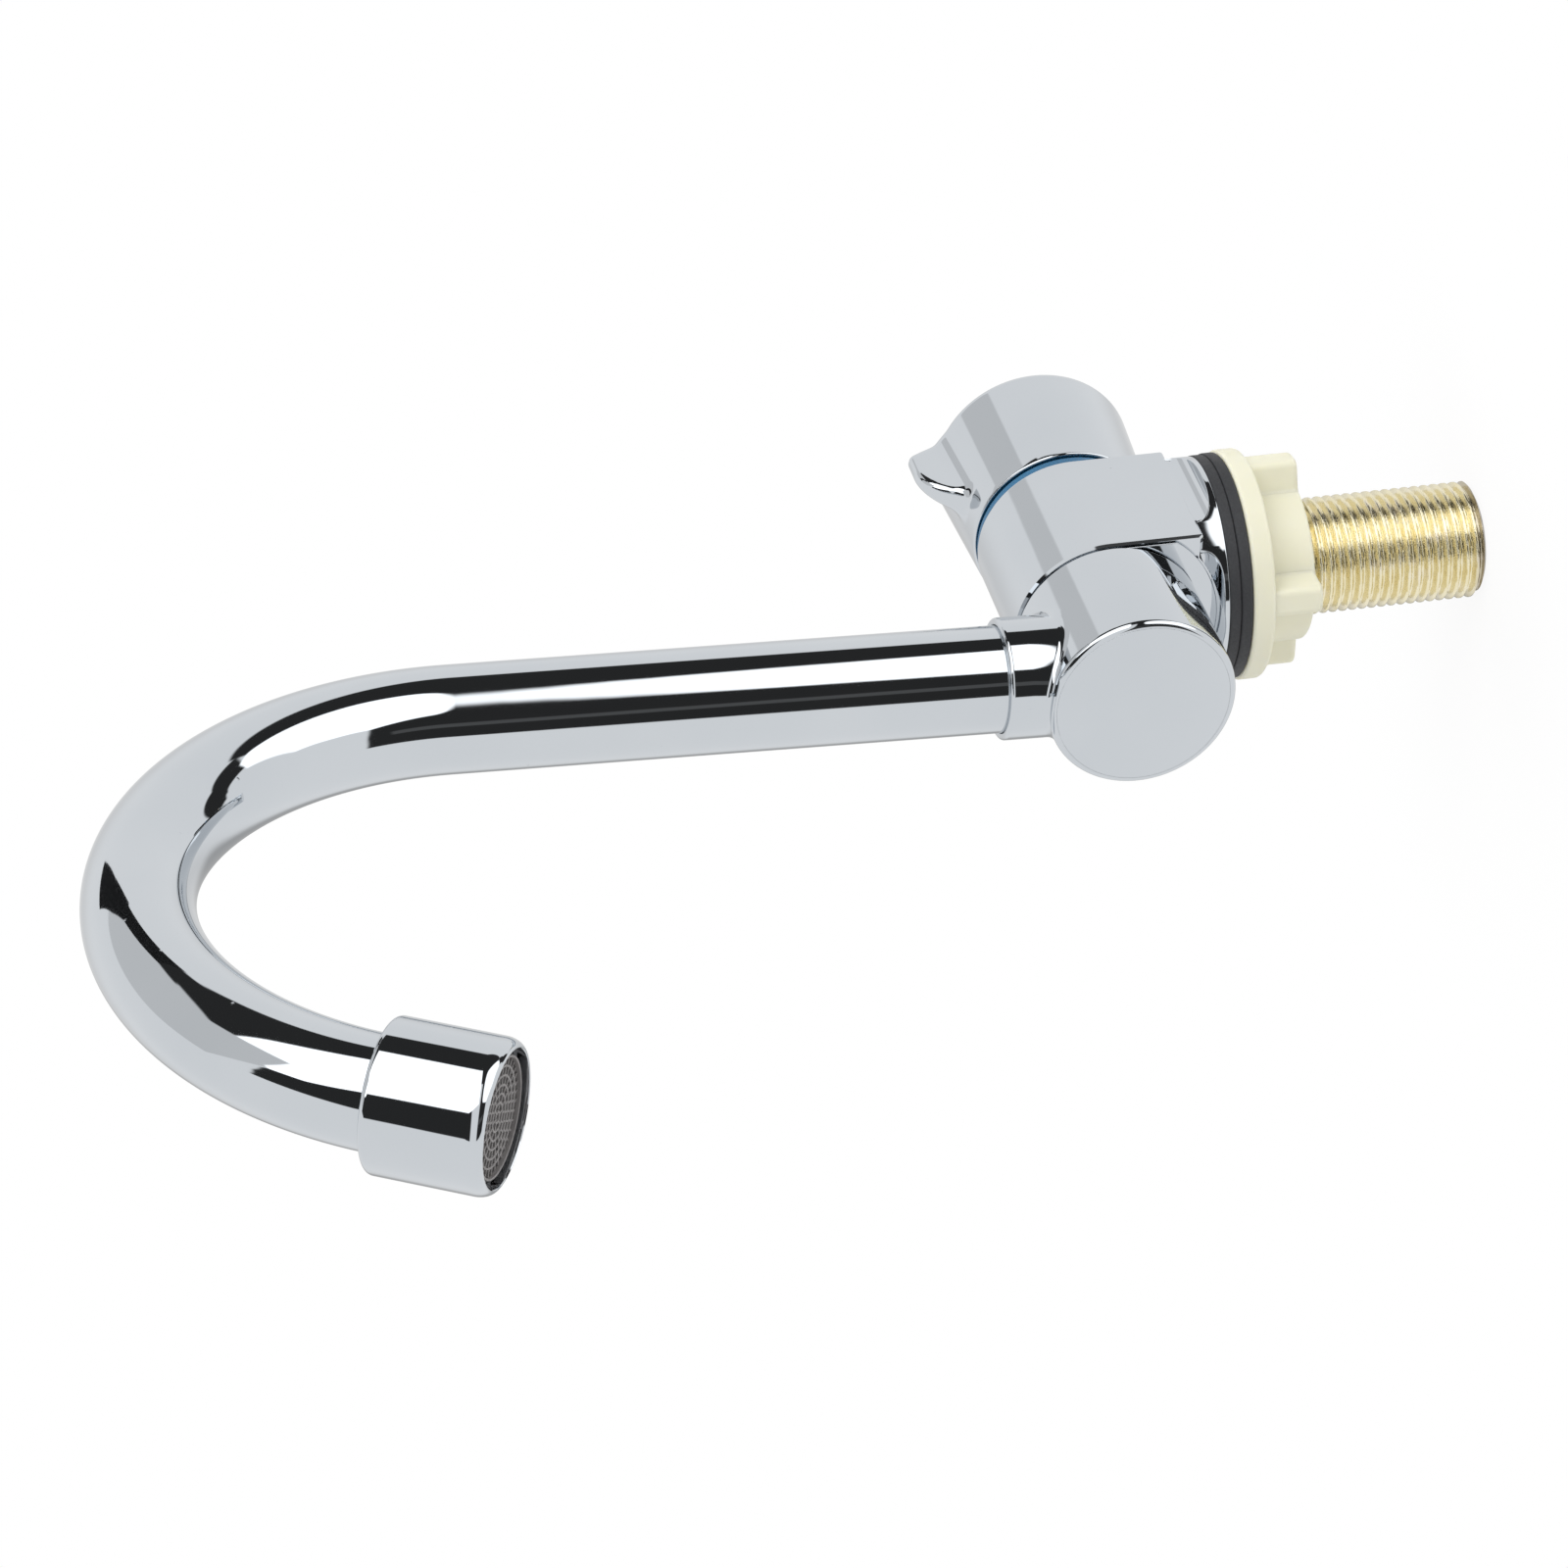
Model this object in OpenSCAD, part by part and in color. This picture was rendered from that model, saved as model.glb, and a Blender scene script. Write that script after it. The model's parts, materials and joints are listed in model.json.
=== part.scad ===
// Folding caravan tap, cold water only: a quarter-turn valve in a low barrel, a spout that folds about the
// barrel's axis and swivels in its collar, and a threaded shank with a back nut that clamps it to a worktop.
// +Z is up and z = 0 is the worktop. The shank is on the Z axis, the handle lies towards -X and the spout
// drum towards +X.

/* [Body] */
// Height of the barrel axis above the worktop
axis_h = 25.2; // [24:0.1:30]
// Radius of the barrel
barrel_r = 16.8; // [15.5:0.1:18]
// Barrel end on the handle side, from the shank axis
barrel_back = 13.4; // [12.5:0.1:16]
// Barrel end on the spout side, from the shank axis
barrel_front = 15.2; // [14:0.1:18]
// Radius of the machined pad that the drum turns against
pad_r = 20; // [18:0.1:21]
// Height of the machined pad
pad_rise = 0.4; // [0.2:0.1:1]
// Radius of the base flange
flange_r = 20; // [18:0.1:22]
// Height of the base flange
flange_h = 4.4; // [3.5:0.1:4.6]
// Depth to which the barrel's straight sides and the flange's coves reach into each other
side_sunk = 0.1; // [0.05:0.05:0.4]
// Straight lip at the foot of the base flange
flange_lip = 1; // [0.5:0.1:1.5]

/* [Worktop rings] */
// Radius of the upper ring, under the base flange
seat_ring_r = 20.1; // [18:0.1:22]
// Thickness of the upper ring
seat_ring_t = 2.1; // [1.5:0.1:3]
// Radius of the lower ring, on the worktop
deck_ring_r = 20.3; // [18:0.1:22]
// Thickness of the lower ring
deck_ring_t = 2.1; // [1.5:0.1:3]
// Room between the rings and the shank
ring_room = 0.3; // [0.2:0.1:0.6]

/* [Shank] */
// Radius over the thread crests, a half-inch pipe thread
shank_r = 10.4775; // [9:0.0005:12]
// Length of the shank below the worktop
shank_len = 46.3; // [40:0.1:70]
// Length of the shank inside the body
shank_grip = 6.8; // [5:0.1:7]
// Distance between thread crests
thread_pitch = 1.814; // [1.2:0.001:2.5]
// Depth of the thread
thread_depth = 1.162; // [0.6:0.001:1.5]
// Width of a crest as seen along the shank
thread_crest = 0.4; // [0.2:0.05:0.6]
// Amount by which the crests under the nut and in the body are below the full crest
thread_run_out = 0.25; // [0.2:0.01:0.35]
// Chamfer at the foot of the shank
shank_chamfer = 1.6; // [1:0.1:2]
// Radius of the water way through the shank
shank_bore_r = 5; // [4:0.1:7]
// Thickness of the seal on top of the shank
shank_seal_t = 1.2; // [0.8:0.1:1.5]
// Width of the seal's face on the shank
shank_seal_w = 4; // [2.5:0.1:5]

/* [Back nut] */
// Radius of the nut's flange
nut_flange_r = 20.7; // [18:0.1:24]
// Thickness of the nut's flange
nut_flange_t = 4; // [3:0.1:6]
// Height of the whole nut
nut_h = 13; // [10:0.1:18]
// Radius of the nut's hub
nut_hub_r = 15; // [13:0.1:17]
// Reach of the finger lugs from the shank axis
nut_lug_r = 19.6; // [18:0.1:22]
// Width of a finger lug
nut_lug_w = 6.4; // [4:0.1:9]
// Number of finger lugs
nut_lugs = 4; // [3:1:6]
// Bearing of the first lug, in degrees from +X
nut_bearing = 13; // [0:1:90]
// Radial room between the nut and the thread crests
nut_room = 0.1; // [0.05:0.01:0.3]
// Gap between the nut and the lower ring
nut_gap = 0.05; // [0.02:0.01:0.5]

/* [Valve] */
// Radius of the valve pocket in the body
pocket_r = 11; // [10.5:0.1:12]
// Distance of the pocket floor from the shank axis
pocket_floor = 4; // [3.8:0.1:4.5]
// Radius of the seat hole and of the riser that feeds it
seat_r = 3; // [2.5:0.1:3.2]
// Thickness of the inlet seal
inlet_seal_t = 1.4; // [1:0.1:2]
// Width of the inlet seal's face round the seat hole
inlet_seal_w = 1.8; // [1.2:0.1:1.9]
// Radius of the ceramic discs
disc_r = 7; // [6.5:0.1:7.2]
// Thickness of each ceramic disc
disc_t = 2; // [1.5:0.1:2.3]
// Radius of the solid middle of the ceramic discs
disc_eye_r = 2.6; // [2:0.1:3]
// Radial room round the ceramic discs
disc_room = 0.15; // [0.1:0.05:0.3]
// Width of the inlet seal's face outside the fixed disc's ports
port_inset = 0.4; // [0.3:0.1:0.6]
// Height of the wall above and below the housing's side windows
window_land = 0.2; // [0.2:0.1:0.4]
// Thickness of the spindle's driver plate
driver_t = 1.8; // [1.2:0.1:2.5]
// Radius of the driver's dogs
dog_r = 1; // [0.8:0.1:1.3]
// Land between a dog and the solid middle of the moving disc
dog_land = 0.6; // [0.5:0.1:0.8]
// Length of the driver's dogs
dog_len = 1.2; // [0.8:0.1:1.4]
// Wall of the valve housing round the discs
housing_wall = 1.4; // [1:0.1:1.8]
// Length of the housing's screwed part inside the body
housing_grip = 3.2; // [2.8:0.1:3.4]
// Radial room between fitted turned parts
fit_room = 0.03; // [0.02:0.01:0.08]
// Width over the flats of the housing's hexagon
hex_af = 17; // [15:0.1:18]
// Length of the housing's hexagon
hex_len = 4; // [3:0.1:5]
// Radius of the housing's neck
neck_r = 6.5; // [5.8:0.1:7.5]
// Length of the housing's neck
neck_len = 3.2; // [2.5:0.1:4]
// Radius of the housing's shoulder that holds the cold ring
shoulder_r = 12.6; // [12:0.1:13.2]
// Thickness of the housing's shoulder
shoulder_t = 1.5; // [1:0.1:2]
// Radius of the spindle
spindle_r = 4; // [3.6:0.1:4.6]
// Length of the spindle's drive inside the handle
drive_len = 11; // [8:0.1:11.5]
// Width over the two flats of the spindle's drive
drive_af = 6.2; // [5.5:0.1:7]
// Radius of the cord of the small seal rings
seal_cord_r = 0.75; // [0.6:0.05:0.9]
// Room along its groove for a small seal ring
seal_slack = 0.4; // [0.3:0.1:0.6]
// Smallest land beside a seal ring's groove
seal_land = 0.4; // [0.3:0.1:0.5]
// Thickness of the snap rings
snap_t = 0.8; // [0.6:0.1:1]
// Depth of the grooves for the snap rings
snap_depth = 0.8; // [0.6:0.1:1]
// Width of a snap ring as seen along its axis
snap_w = 2.4; // [2:0.1:2.6]

/* [Cold ring] */
// Amount by which the blue ring's edge lies below the barrel
cold_ring_inset = 0.4; // [0.3:0.1:2.2]
// Thickness of the blue ring
cold_ring_t = 1.8; // [1.2:0.1:2.5]

/* [Handle] */
// Gap between the blue ring and the handle
handle_gap = 0.5; // [0.3:0.1:1]
// Amount by which the handle's near edge stands proud of the barrel
handle_proud = 0.1; // [0:0.1:0.6]
// Radius of the handle at its far end
handle_far_r = 18.2; // [17:0.1:20]
// Far end of the handle, from the shank axis
handle_end = 42.4; // [41.5:0.1:46]
// Rounding of the handle's far edge
handle_round = 2.2; // [1:0.1:3]
// Wall of the handle round its hollow
handle_wall = 2.6; // [2:0.1:3]
// Thickness of the handle's end wall
handle_floor = 4.6; // [4:0.1:5]
// Gap between the spindle's snap ring and the boss
boss_room = 1; // [0.6:0.1:2]
// Room past the end of the spindle in the boss
drive_room = 0.2; // [0.1:0.1:0.4]
// Radius of the boss that takes the spindle
boss_r = 6.8; // [6:0.1:8]
// Reach of the finger nib from the handle's axis
nib_reach = 25; // [23:0.1:27]
// Thickness of the nib at its root
nib_root_t = 5.4; // [4:0.1:7]
// Thickness of the nib at its tip
nib_tip_t = 2.7; // [2:0.1:4]
// Radius of the nib's tip
nib_tip_r = 1.2; // [1:0.1:2]
// Distance from the far end of the handle to the middle of the nib's tip
nib_tip_in = 6.7; // [5:0.1:9]
// Radius of the nib's heel, the rounding below its tip
nib_heel_r = 8; // [6:0.1:9]
// Distance from the far end of the handle to the middle of the nib's heel
nib_heel_in = 11; // [10:0.1:12]
// Distance from the far end of the handle to the nib's foot
nib_len = 20; // [19:0.1:22]
// Depth of the nib's upper root below the handle's far end
nib_drop = 0.2; // [0.1:0.1:1]
// Bearing of the nib about the handle's axis, in degrees from upright
nib_bearing = 13; // [-20:1:20]
// Radius of the plug in the handle's end
cap_r = 6.4; // [5:0.1:8]
// Thickness of the plug in the handle's end
cap_t = 1.9; // [1.2:0.1:2.2]
// Radius of the handle screw
screw_r = 1.9; // [1.5:0.1:2]
// Length of the handle screw's thread in the spindle
screw_grip = 6; // [4:0.1:8]
// Room past the tip of the handle screw
screw_room = 0.5; // [0.3:0.1:1]
// Width of the cross slot in the screw's head
slot_w = 0.8; // [0.6:0.1:1]
// Radius of the handle screw's head
screw_head_r = 3.4; // [2.8:0.1:4]
// Height of the handle screw's head
screw_head_h = 1.7; // [1.2:0.1:1.8]

/* [Pivot] */
// Radius of the pivot stem inside the drum
stem_r = 7.5; // [7:0.1:8]
// Radius of the stem's screwed root in the body
stem_root_r = 8.4; // [8.1:0.1:9]
// Length of the stem's root
stem_grip = 6; // [4.5:0.1:6.2]
// Radius of the water way in the stem
stem_bore_r = 4.5; // [4:0.1:5]
// Radius of the stem's side ports
port_r = 2.1; // [1.6:0.1:2.3]
// Length of the stem's water way past its side ports
bore_past_ports = 0.2; // [0.1:0.1:0.4]
// Room beside the side ports in the drum's chamber
chamber_room = 1; // [0.8:0.1:1.1]
// Radius of the passages from the valve pocket to the stem
passage_r = 1.5; // [1.2:0.1:1.6]
// Distance of the passages from the barrel axis
passage_offset = 6.6; // [6.4:0.1:6.7]
// Depth of the room in front of the stem's root
root_room = 2; // [1.5:0.1:2.2]
// Thickness of the thrust washer, which shows as a dark gap
thrust_t = 0.6; // [0.4:0.1:1]
// Radius of the thrust washer
thrust_r = 13; // [11:0.1:14.5]
// Radial room between the stem and the drum
pivot_room = 0.05; // [0.02:0.01:0.09]
// Thickness of the spring washer
spring_t = 0.6; // [0.4:0.1:0.9]
// Radius of the spring washer
spring_r = 10.2; // [9.5:0.1:10.8]
// Length of the stem past its snap ring
stem_tip = 0.9; // [0.6:0.1:1]

/* [Spout drum] */
// Radius of the drum
drum_r = 16.7; // [16:0.1:18]
// Outer face of the drum, from the shank axis
drum_end = 40; // [39.8:0.1:43]
// Rounding round the drum's outer face
drum_round = 1.2; // [0.9:0.1:1.5]
// Radius of the ring-shaped chamber round the stem
chamber_r = 10.2; // [9:0.1:11]
// Radius of the pocket for the snap ring
drum_pocket_r = 11; // [10.9:0.1:12]
// Thickness of the end cap's disc
end_cap_t = 0.9; // [0.7:0.1:1]
// Depth of the end cap's plug
end_cap_plug = 1.2; // [0.8:0.1:1.4]
// Radius of the collar that holds the spout
collar_r = 10.7; // [10.6:0.1:11.5]
// End of the collar, from the barrel axis
collar_end = 23.7; // [23:0.1:28]
// Chamfer at the mouth of the collar
collar_chamfer = 0.5; // [0.3:0.1:0.6]
// Chamfer inside the mouth of the collar
mouth_chamfer = 0.4; // [0.2:0.1:0.4]
// Floor of the collar's bore, from the barrel axis
collar_floor = 13.2; // [12.6:0.1:13.4]
// Radius of the hole from the chamber into the collar
collar_port_r = 5; // [4:0.1:6]

/* [Spout] */
// Distance of the spout's axis from the shank axis
tube_x = 29.2; // [28.8:0.1:29.3]
// Lean of the spout from upright, in degrees
lean = 2.5; // [-10:0.5:10]
// Turn of the hook from the barrel axis, in degrees
turn = 4; // [-30:1:30]
// Outer radius of the tube
tube_r = 9.4; // [9:0.1:9.4]
// Wall of the tube
tube_wall = 1; // [0.8:0.1:1.3]
// Height of the bend's start above the barrel axis
bend_start = 120; // [90:1:160]
// Radius of the bend, to the tube's axis
bend_r = 60; // [45:0.5:80]
// Angle of the bend
bend_angle = 151; // [120:1:175]
// Length of tube between the collar's mouth and the ferrule's shoulder
tube_sunk = 2.2; // [1.6:0.1:3]
// Length of the ferrule inside the tube
ferrule_spigot = 6; // [4:0.1:10]
// Gap between the ferrule and the floor of the collar's bore
ferrule_gap = 0.2; // [0.1:0.1:0.3]
// Land between the ferrule's snap ring and the foot of the tube
snap_land = 0.8; // [0.6:0.1:0.9]
// Room round the ferrule's snap ring in the collar's groove
snap_room = 0.2; // [0.1:0.05:0.25]
// Radius of the ferrule's water way
ferrule_bore_r = 6.5; // [5.5:0.1:7]

/* [Aerator] */
// Outer radius of the aerator shell
shell_r = 12.6; // [12.2:0.1:14]
// Length of the aerator shell
shell_len = 19.2; // [18:0.1:24]
// Wall of the aerator shell
shell_wall = 1.2; // [1.1:0.1:1.6]
// Rounding of the shell's edges
shell_round = 1.2; // [0.6:0.1:1.3]
// Width of the lip at the shell's mouth
lip_w = 0.3; // [0.3:0.1:1]
// Length of the lip at the shell's mouth
lip_len = 1; // [0.8:0.1:2]
// Length of the thread on the outlet nipple, which is brazed to the tube's end
nipple_len = 6.4; // [5:0.1:7]
// Wall of the outlet nipple behind its thread
nipple_wall = 2.67; // [2:0.01:2.9]
// Thickness of the nipple's floor, which has the tube's bore
nipple_floor = 1.5; // [1:0.1:3]
// Thickness of the aerator washer
washer_t = 1.4; // [1:0.1:2]
// Width of the aerator washer
washer_w = 2.4; // [1.8:0.1:3]
// Wall of the aerator insert
insert_wall = 1; // [0.7:0.1:1.4]
// Thickness of the insert's grid
grid_t = 1.2; // [0.8:0.1:2]
// Number of rings in the grid
grid_rings = 4; // [2:1:5]
// Number of spokes in the grid
grid_spokes = 12; // [6:2:16]
// Width of the grid's bars
grid_bar = 0.6; // [0.4:0.1:0.8]
// Thickness of the wire screen
screen_t = 0.4; // [0.3:0.1:0.8]

/* [Hidden] */
$fn = 72;
eps = 0.01;
over = 1;
through = 100;
dot = 0.1;
small_fn = 32;

chrome = "#c9cdd1";
brass = "#c9a54e";
zinc = "#d8c27a";
rubber = "#242424";
cream = "#ece7c4";
cold = "#1f5f96";
ceramic = "#e9e4da";
steel = "#a9adb0";
grey = "#6d6f72";

// Heights on the shank axis
base_z = deck_ring_t + seat_ring_t;
flange_top = base_z + flange_h;
side_foot = flange_top - side_sunk;
cove_r = flange_h - flange_lip;
block_front = barrel_front - pad_rise;
socket_top = base_z + shank_grip + shank_seal_t;
upper_crest_r = shank_r - thread_run_out;
nut_top = -nut_gap;
nut_foot = nut_top - nut_h;

// Stations along the valve, outwards from the shank axis on the handle side
disc_foot = pocket_floor + inlet_seal_t;
disc_split = disc_foot + disc_t;
driver_foot = disc_split + disc_t;
driver_top = driver_foot + driver_t;
grip_foot = barrel_back - housing_grip;
shoulder_foot = barrel_back + cold_ring_t;
hex_foot = shoulder_foot + shoulder_t;
neck_foot = hex_foot + hex_len;
neck_end = neck_foot + neck_len;
snap_end = neck_end + snap_t + 2 * fit_room;
spindle_end = snap_end + drive_len;
cold_ring_r = barrel_r - cold_ring_inset;
handle_near_r = barrel_r + handle_proud;
handle_face_r = handle_far_r - handle_round;
nib_root = handle_near_r - handle_wall / 2;
handle_near = shoulder_foot + handle_gap;
handle_inside = handle_end - handle_floor;
cap_floor = handle_end - cap_t;
head_floor = cap_floor - screw_head_h - fit_room;
dog_offset = disc_eye_r + dog_r + dog_land;
housing_bore_r = disc_r + disc_room;
housing_skirt_r = housing_bore_r + housing_wall;
seal_groove_w = 2 * seal_cord_r + seal_slack;
seal_depth = 2 * seal_cord_r;

// Stations along the pivot, outwards from the shank axis on the spout side
root_end = barrel_front - stem_grip;
drum_root = barrel_front + thrust_t;
chamber_half = port_r + chamber_room;
outer_seal = tube_x + chamber_half + seal_groove_w / 2 + seal_land;
pocket_step = outer_seal + seal_groove_w / 2 + seal_land;
snap_foot = pocket_step + spring_t + fit_room;
snap_top = snap_foot + snap_t + 2 * fit_room;
stem_end = snap_top + stem_tip;
cap_seat = drum_end - end_cap_t;
drum_bore_r = stem_r + pivot_room;
cap_disc_r = drum_r - drum_round;
inner_seal = (drum_root + tube_x - chamber_half) / 2;

// Stations along the spout, outwards from the barrel axis
collar_bore_r = tube_r + pivot_room;
mouth_r = collar_bore_r + mouth_chamfer;
ferrule_foot = collar_floor + ferrule_gap;
tube_foot = collar_end - tube_sunk;
spout_snap_foot = tube_foot - snap_t - snap_land;
spout_seal_2 = spout_snap_foot - seal_groove_w / 2 - seal_land;
spout_seal_1 = ferrule_foot + seal_groove_w / 2 + seal_land;
snap_groove_r = collar_bore_r + snap_depth - snap_room;
tube_bore_r = tube_r - tube_wall;

// Stations along the outlet, outwards from the end of the bend
shell_bore_r = shell_r - shell_wall;
nipple_r = shell_bore_r - fit_room;
nipple_foot = shell_wall + fit_room;
nipple_inside = nipple_foot + nipple_floor;
nipple_end = nipple_foot + nipple_len;
washer_end = nipple_end + washer_t;
lip_foot = shell_len - lip_len;
insert_r = shell_bore_r - fit_room;
insert_foot = washer_end;
insert_end = lip_foot - fit_room;
grid_foot = insert_end - grid_t;
screen_foot = (insert_foot + grid_foot) / 2;

// Shapes that repeat

module tube(r_out, r_in, z0, z1) {
    difference() {
        translate([0, 0, z0]) cylinder(h = z1 - z0, r = r_out);
        translate([0, 0, z0 - over]) cylinder(h = z1 - z0 + 2 * over, r = r_in);
    }
}

module rod(r, z0, z1) {
    translate([0, 0, z0]) cylinder(h = z1 - z0, r = r);
}

module seal_ring(outer_r, z) {
    translate([0, 0, z])
        rotate_extrude()
            translate([outer_r - seal_cord_r, 0]) circle(r = seal_cord_r - fit_room, $fn = small_fn);
}

module groove(outer_r, depth, z, width) {
    tube(outer_r + over, outer_r - depth, z - width / 2, z + width / 2);
}

module snap_ring(r_in, r_out, z0) {
    difference() {
        tube(r_out, r_in, z0, z0 + snap_t);
        translate([0, -r_in / 2, z0 - over]) cube([r_out + over, r_in, snap_t + 2 * over]);
    }
}

// Two opposite quarter sectors, open at the rim
module quarter_sectors(r) {
    for (s = [-1, 1])
        polygon([[0, 0], [s * r * 2, -r * 2], [s * r * 2, r * 2]]);
}

module double_d(r, af) {
    intersection() {
        circle(r = r);
        square([2 * r + over, af], center = true);
    }
}

module valve_side() {
    translate([0, 0, axis_h]) rotate([0, -90, 0]) children();
}

module pivot_side() {
    translate([0, 0, axis_h]) rotate([0, 90, 0]) children();
}

module fold_frame() {
    translate([0, 0, axis_h]) rotate([-lean, 0, 0]) children();
}

module hub_side() {
    fold_frame() rotate([0, 90, 0]) children();
}

module collar_frame() {
    fold_frame() translate([tube_x, 0, 0]) children();
}

module swivel_frame() {
    collar_frame() rotate([0, 0, turn]) children();
}

module outlet_frame() {
    swivel_frame()
        translate([bend_r, 0, bend_start])
            rotate([0, bend_angle, 0])
                translate([-bend_r, 0, 0]) children();
}

// Pieces of the body

module barrel_block(front, side) {
    translate([-barrel_back, 0, axis_h]) rotate([0, 90, 0]) cylinder(h = barrel_back + front, r = side);
    translate([-barrel_back, -side, side_foot]) cube([barrel_back + front, 2 * side, axis_h - side_foot]);
}

// A round lip, and above it the block's foot with a cove along each side, cut to the lip's circle
module base_flange() {
    cove_back = -barrel_back + side_sunk - cove_r;
    cove_front = block_front - side_sunk + cove_r;
    cove_side = barrel_r - side_sunk + cove_r;
    rod(flange_r, base_z, base_z + flange_lip);
    intersection() {
        rod(flange_r, base_z, flange_top);
        difference() {
            translate([cove_back, -cove_side, base_z])
                cube([cove_front - cove_back, 2 * cove_side, flange_h]);
            for (y = [-cove_side, cove_side])
                translate([-through / 2, y, flange_top]) rotate([0, 90, 0]) cylinder(h = through, r = cove_r);
            for (x = [cove_back, cove_front])
                translate([x, through / 2, flange_top]) rotate([90, 0, 0]) cylinder(h = through, r = cove_r);
        }
    }
}

module machined_pad() {
    intersection() {
        barrel_block(barrel_front, barrel_r);
        pivot_side() rod(pad_r, 0, barrel_front);
    }
}

module body_casting() {
    color(chrome)
    difference() {
        union() {
            barrel_block(block_front, barrel_r);
            machined_pad();
            base_flange();
        }
        valve_side() {
            rod(pocket_r, pocket_floor, barrel_back + over);
            rod(seat_r, 0, pocket_floor + over);
        }
        pivot_side() {
            rod(stem_root_r + fit_room, root_end - root_room, barrel_front + over);
            for (s = [-1, 1])
                translate([0, s * passage_offset, 0])
                    rod(passage_r, -pocket_floor - over, root_end - root_room + over);
        }
        rod(seat_r, socket_top - over, axis_h);
        rod(upper_crest_r + fit_room, base_z - over, socket_top);
    }
}

module seat_ring() {
    color(rubber) tube(seat_ring_r, shank_r + ring_room, deck_ring_t, base_z);
}

module deck_washer() {
    color(rubber) tube(deck_ring_r, shank_r + ring_room, 0, deck_ring_t);
}

// Crest radius of the thread: full below the nut, a little less under it
function crest_r(z) = z > nut_foot ? upper_crest_r : shank_r;

module inlet_shank() {
    foot = -shank_len;
    turns = floor((shank_len - shank_chamfer - thread_pitch) / thread_pitch);
    first = foot + shank_chamfer + thread_pitch / 2;
    flank = (thread_pitch - 2 * thread_crest) / 2;
    valleys = [
        for (i = [0 : turns - 1])
            let (z = first + i * thread_pitch, r = crest_r(z + thread_pitch))
            each [
                [r, z - flank - thread_crest / 2],
                [shank_r - thread_depth, z - thread_crest / 2],
                [shank_r - thread_depth, z + thread_crest / 2],
                [r, z + flank + thread_crest / 2]
            ]
    ];
    top = base_z + shank_grip;
    color(zinc)
        rotate_extrude()
            polygon(concat(
                [[shank_bore_r, foot], [shank_r - shank_chamfer, foot], [shank_r, foot + shank_chamfer / 2]],
                valleys,
                [[upper_crest_r, top], [shank_bore_r, top]]
            ));
}

module shank_seal() {
    color(rubber)
        tube(shank_bore_r + shank_seal_w, shank_bore_r, base_z + shank_grip, socket_top);
}

module cold_ring() {
    color(cold)
        valve_side() tube(cold_ring_r, pocket_r + fit_room, barrel_back + fit_room, shoulder_foot);
}

module valve_housing() {
    thread_r = pocket_r - fit_room;
    window_h = disc_t - 2 * window_land;
    color(brass)
    valve_side()
    difference() {
        union() {
            rod(housing_skirt_r, pocket_floor + fit_room, grip_foot + eps);
            rod(thread_r, grip_foot, shoulder_foot + eps);
            rod(shoulder_r, shoulder_foot, hex_foot + eps);
            translate([0, 0, hex_foot]) cylinder(h = hex_len + eps, d = hex_af / cos(30), $fn = 6);
            rod(neck_r, neck_foot, neck_end);
        }
        rod(housing_bore_r, pocket_floor - over, driver_top + fit_room);
        rod(spindle_r + fit_room, driver_top, neck_end + over);
        translate([0, 0, disc_split + window_land + window_h / 2])
            cube([2 * disc_r * sin(45), through, window_h], center = true);
        groove(thread_r, seal_depth, (grip_foot + barrel_back) / 2, seal_groove_w);
    }
}

module housing_seal() {
    color(rubber)
        valve_side() seal_ring(pocket_r - fit_room, (grip_foot + barrel_back) / 2);
}

module inlet_seal() {
    color(rubber)
        valve_side() tube(seat_r + inlet_seal_w, seat_r, pocket_floor, disc_foot);
}

module fixed_disc() {
    color(ceramic)
        valve_side()
            translate([0, 0, disc_foot])
                linear_extrude(disc_t)
                    difference() {
                        circle(r = disc_r + disc_room - fit_room);
                        intersection() {
                            difference() {
                                circle(r = seat_r + inlet_seal_w - port_inset);
                                circle(r = disc_eye_r / 2);
                            }
                            rotate(90) quarter_sectors(disc_r);
                        }
                    }
}

module pivot_stem() {
    color(brass)
    pivot_side()
    difference() {
        union() {
            rod(stem_root_r, root_end, barrel_front);
            rod(stem_r, barrel_front - eps, stem_end);
        }
        rod(stem_bore_r, root_end - over, tube_x + port_r + bore_past_ports);
        translate([0, 0, tube_x])
            for (a = [0, 90])
                rotate([0, 90, a]) cylinder(h = through, r = port_r, center = true);
        for (x = [inner_seal, outer_seal])
            groove(stem_r, seal_depth, x, seal_groove_w);
        groove(stem_r, snap_depth, (snap_foot + snap_top) / 2, snap_top - snap_foot);
    }
}

module stem_seals() {
    color(rubber)
        pivot_side()
            for (x = [inner_seal, outer_seal])
                seal_ring(stem_r, x);
}

module thrust_washer() {
    color(rubber)
        pivot_side() tube(thrust_r, stem_r + pivot_room, barrel_front, drum_root - pivot_room);
}

module spring_washer() {
    color(steel)
        pivot_side() tube(spring_r, stem_r + pivot_room, pocket_step + pivot_room, snap_foot);
}

module pivot_snap_ring() {
    color(steel)
        pivot_side() snap_ring(stem_r - snap_depth, stem_r - snap_depth + snap_w, snap_foot + fit_room);
}

module back_nut() {
    color(cream)
    difference() {
        union() {
            rod(nut_flange_r, nut_top - nut_flange_t, nut_top);
            rod(nut_hub_r, nut_foot, nut_top);
            for (i = [0 : nut_lugs - 1])
                rotate(nut_bearing + i * 360 / nut_lugs)
                    translate([0, -nut_lug_w / 2, nut_foot])
                        cube([nut_lug_r, nut_lug_w, nut_h - nut_flange_t / 2]);
        }
        rod(shank_r + nut_room, nut_foot - over, nut_top + over);
    }
}

// Pieces of the handle

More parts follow.
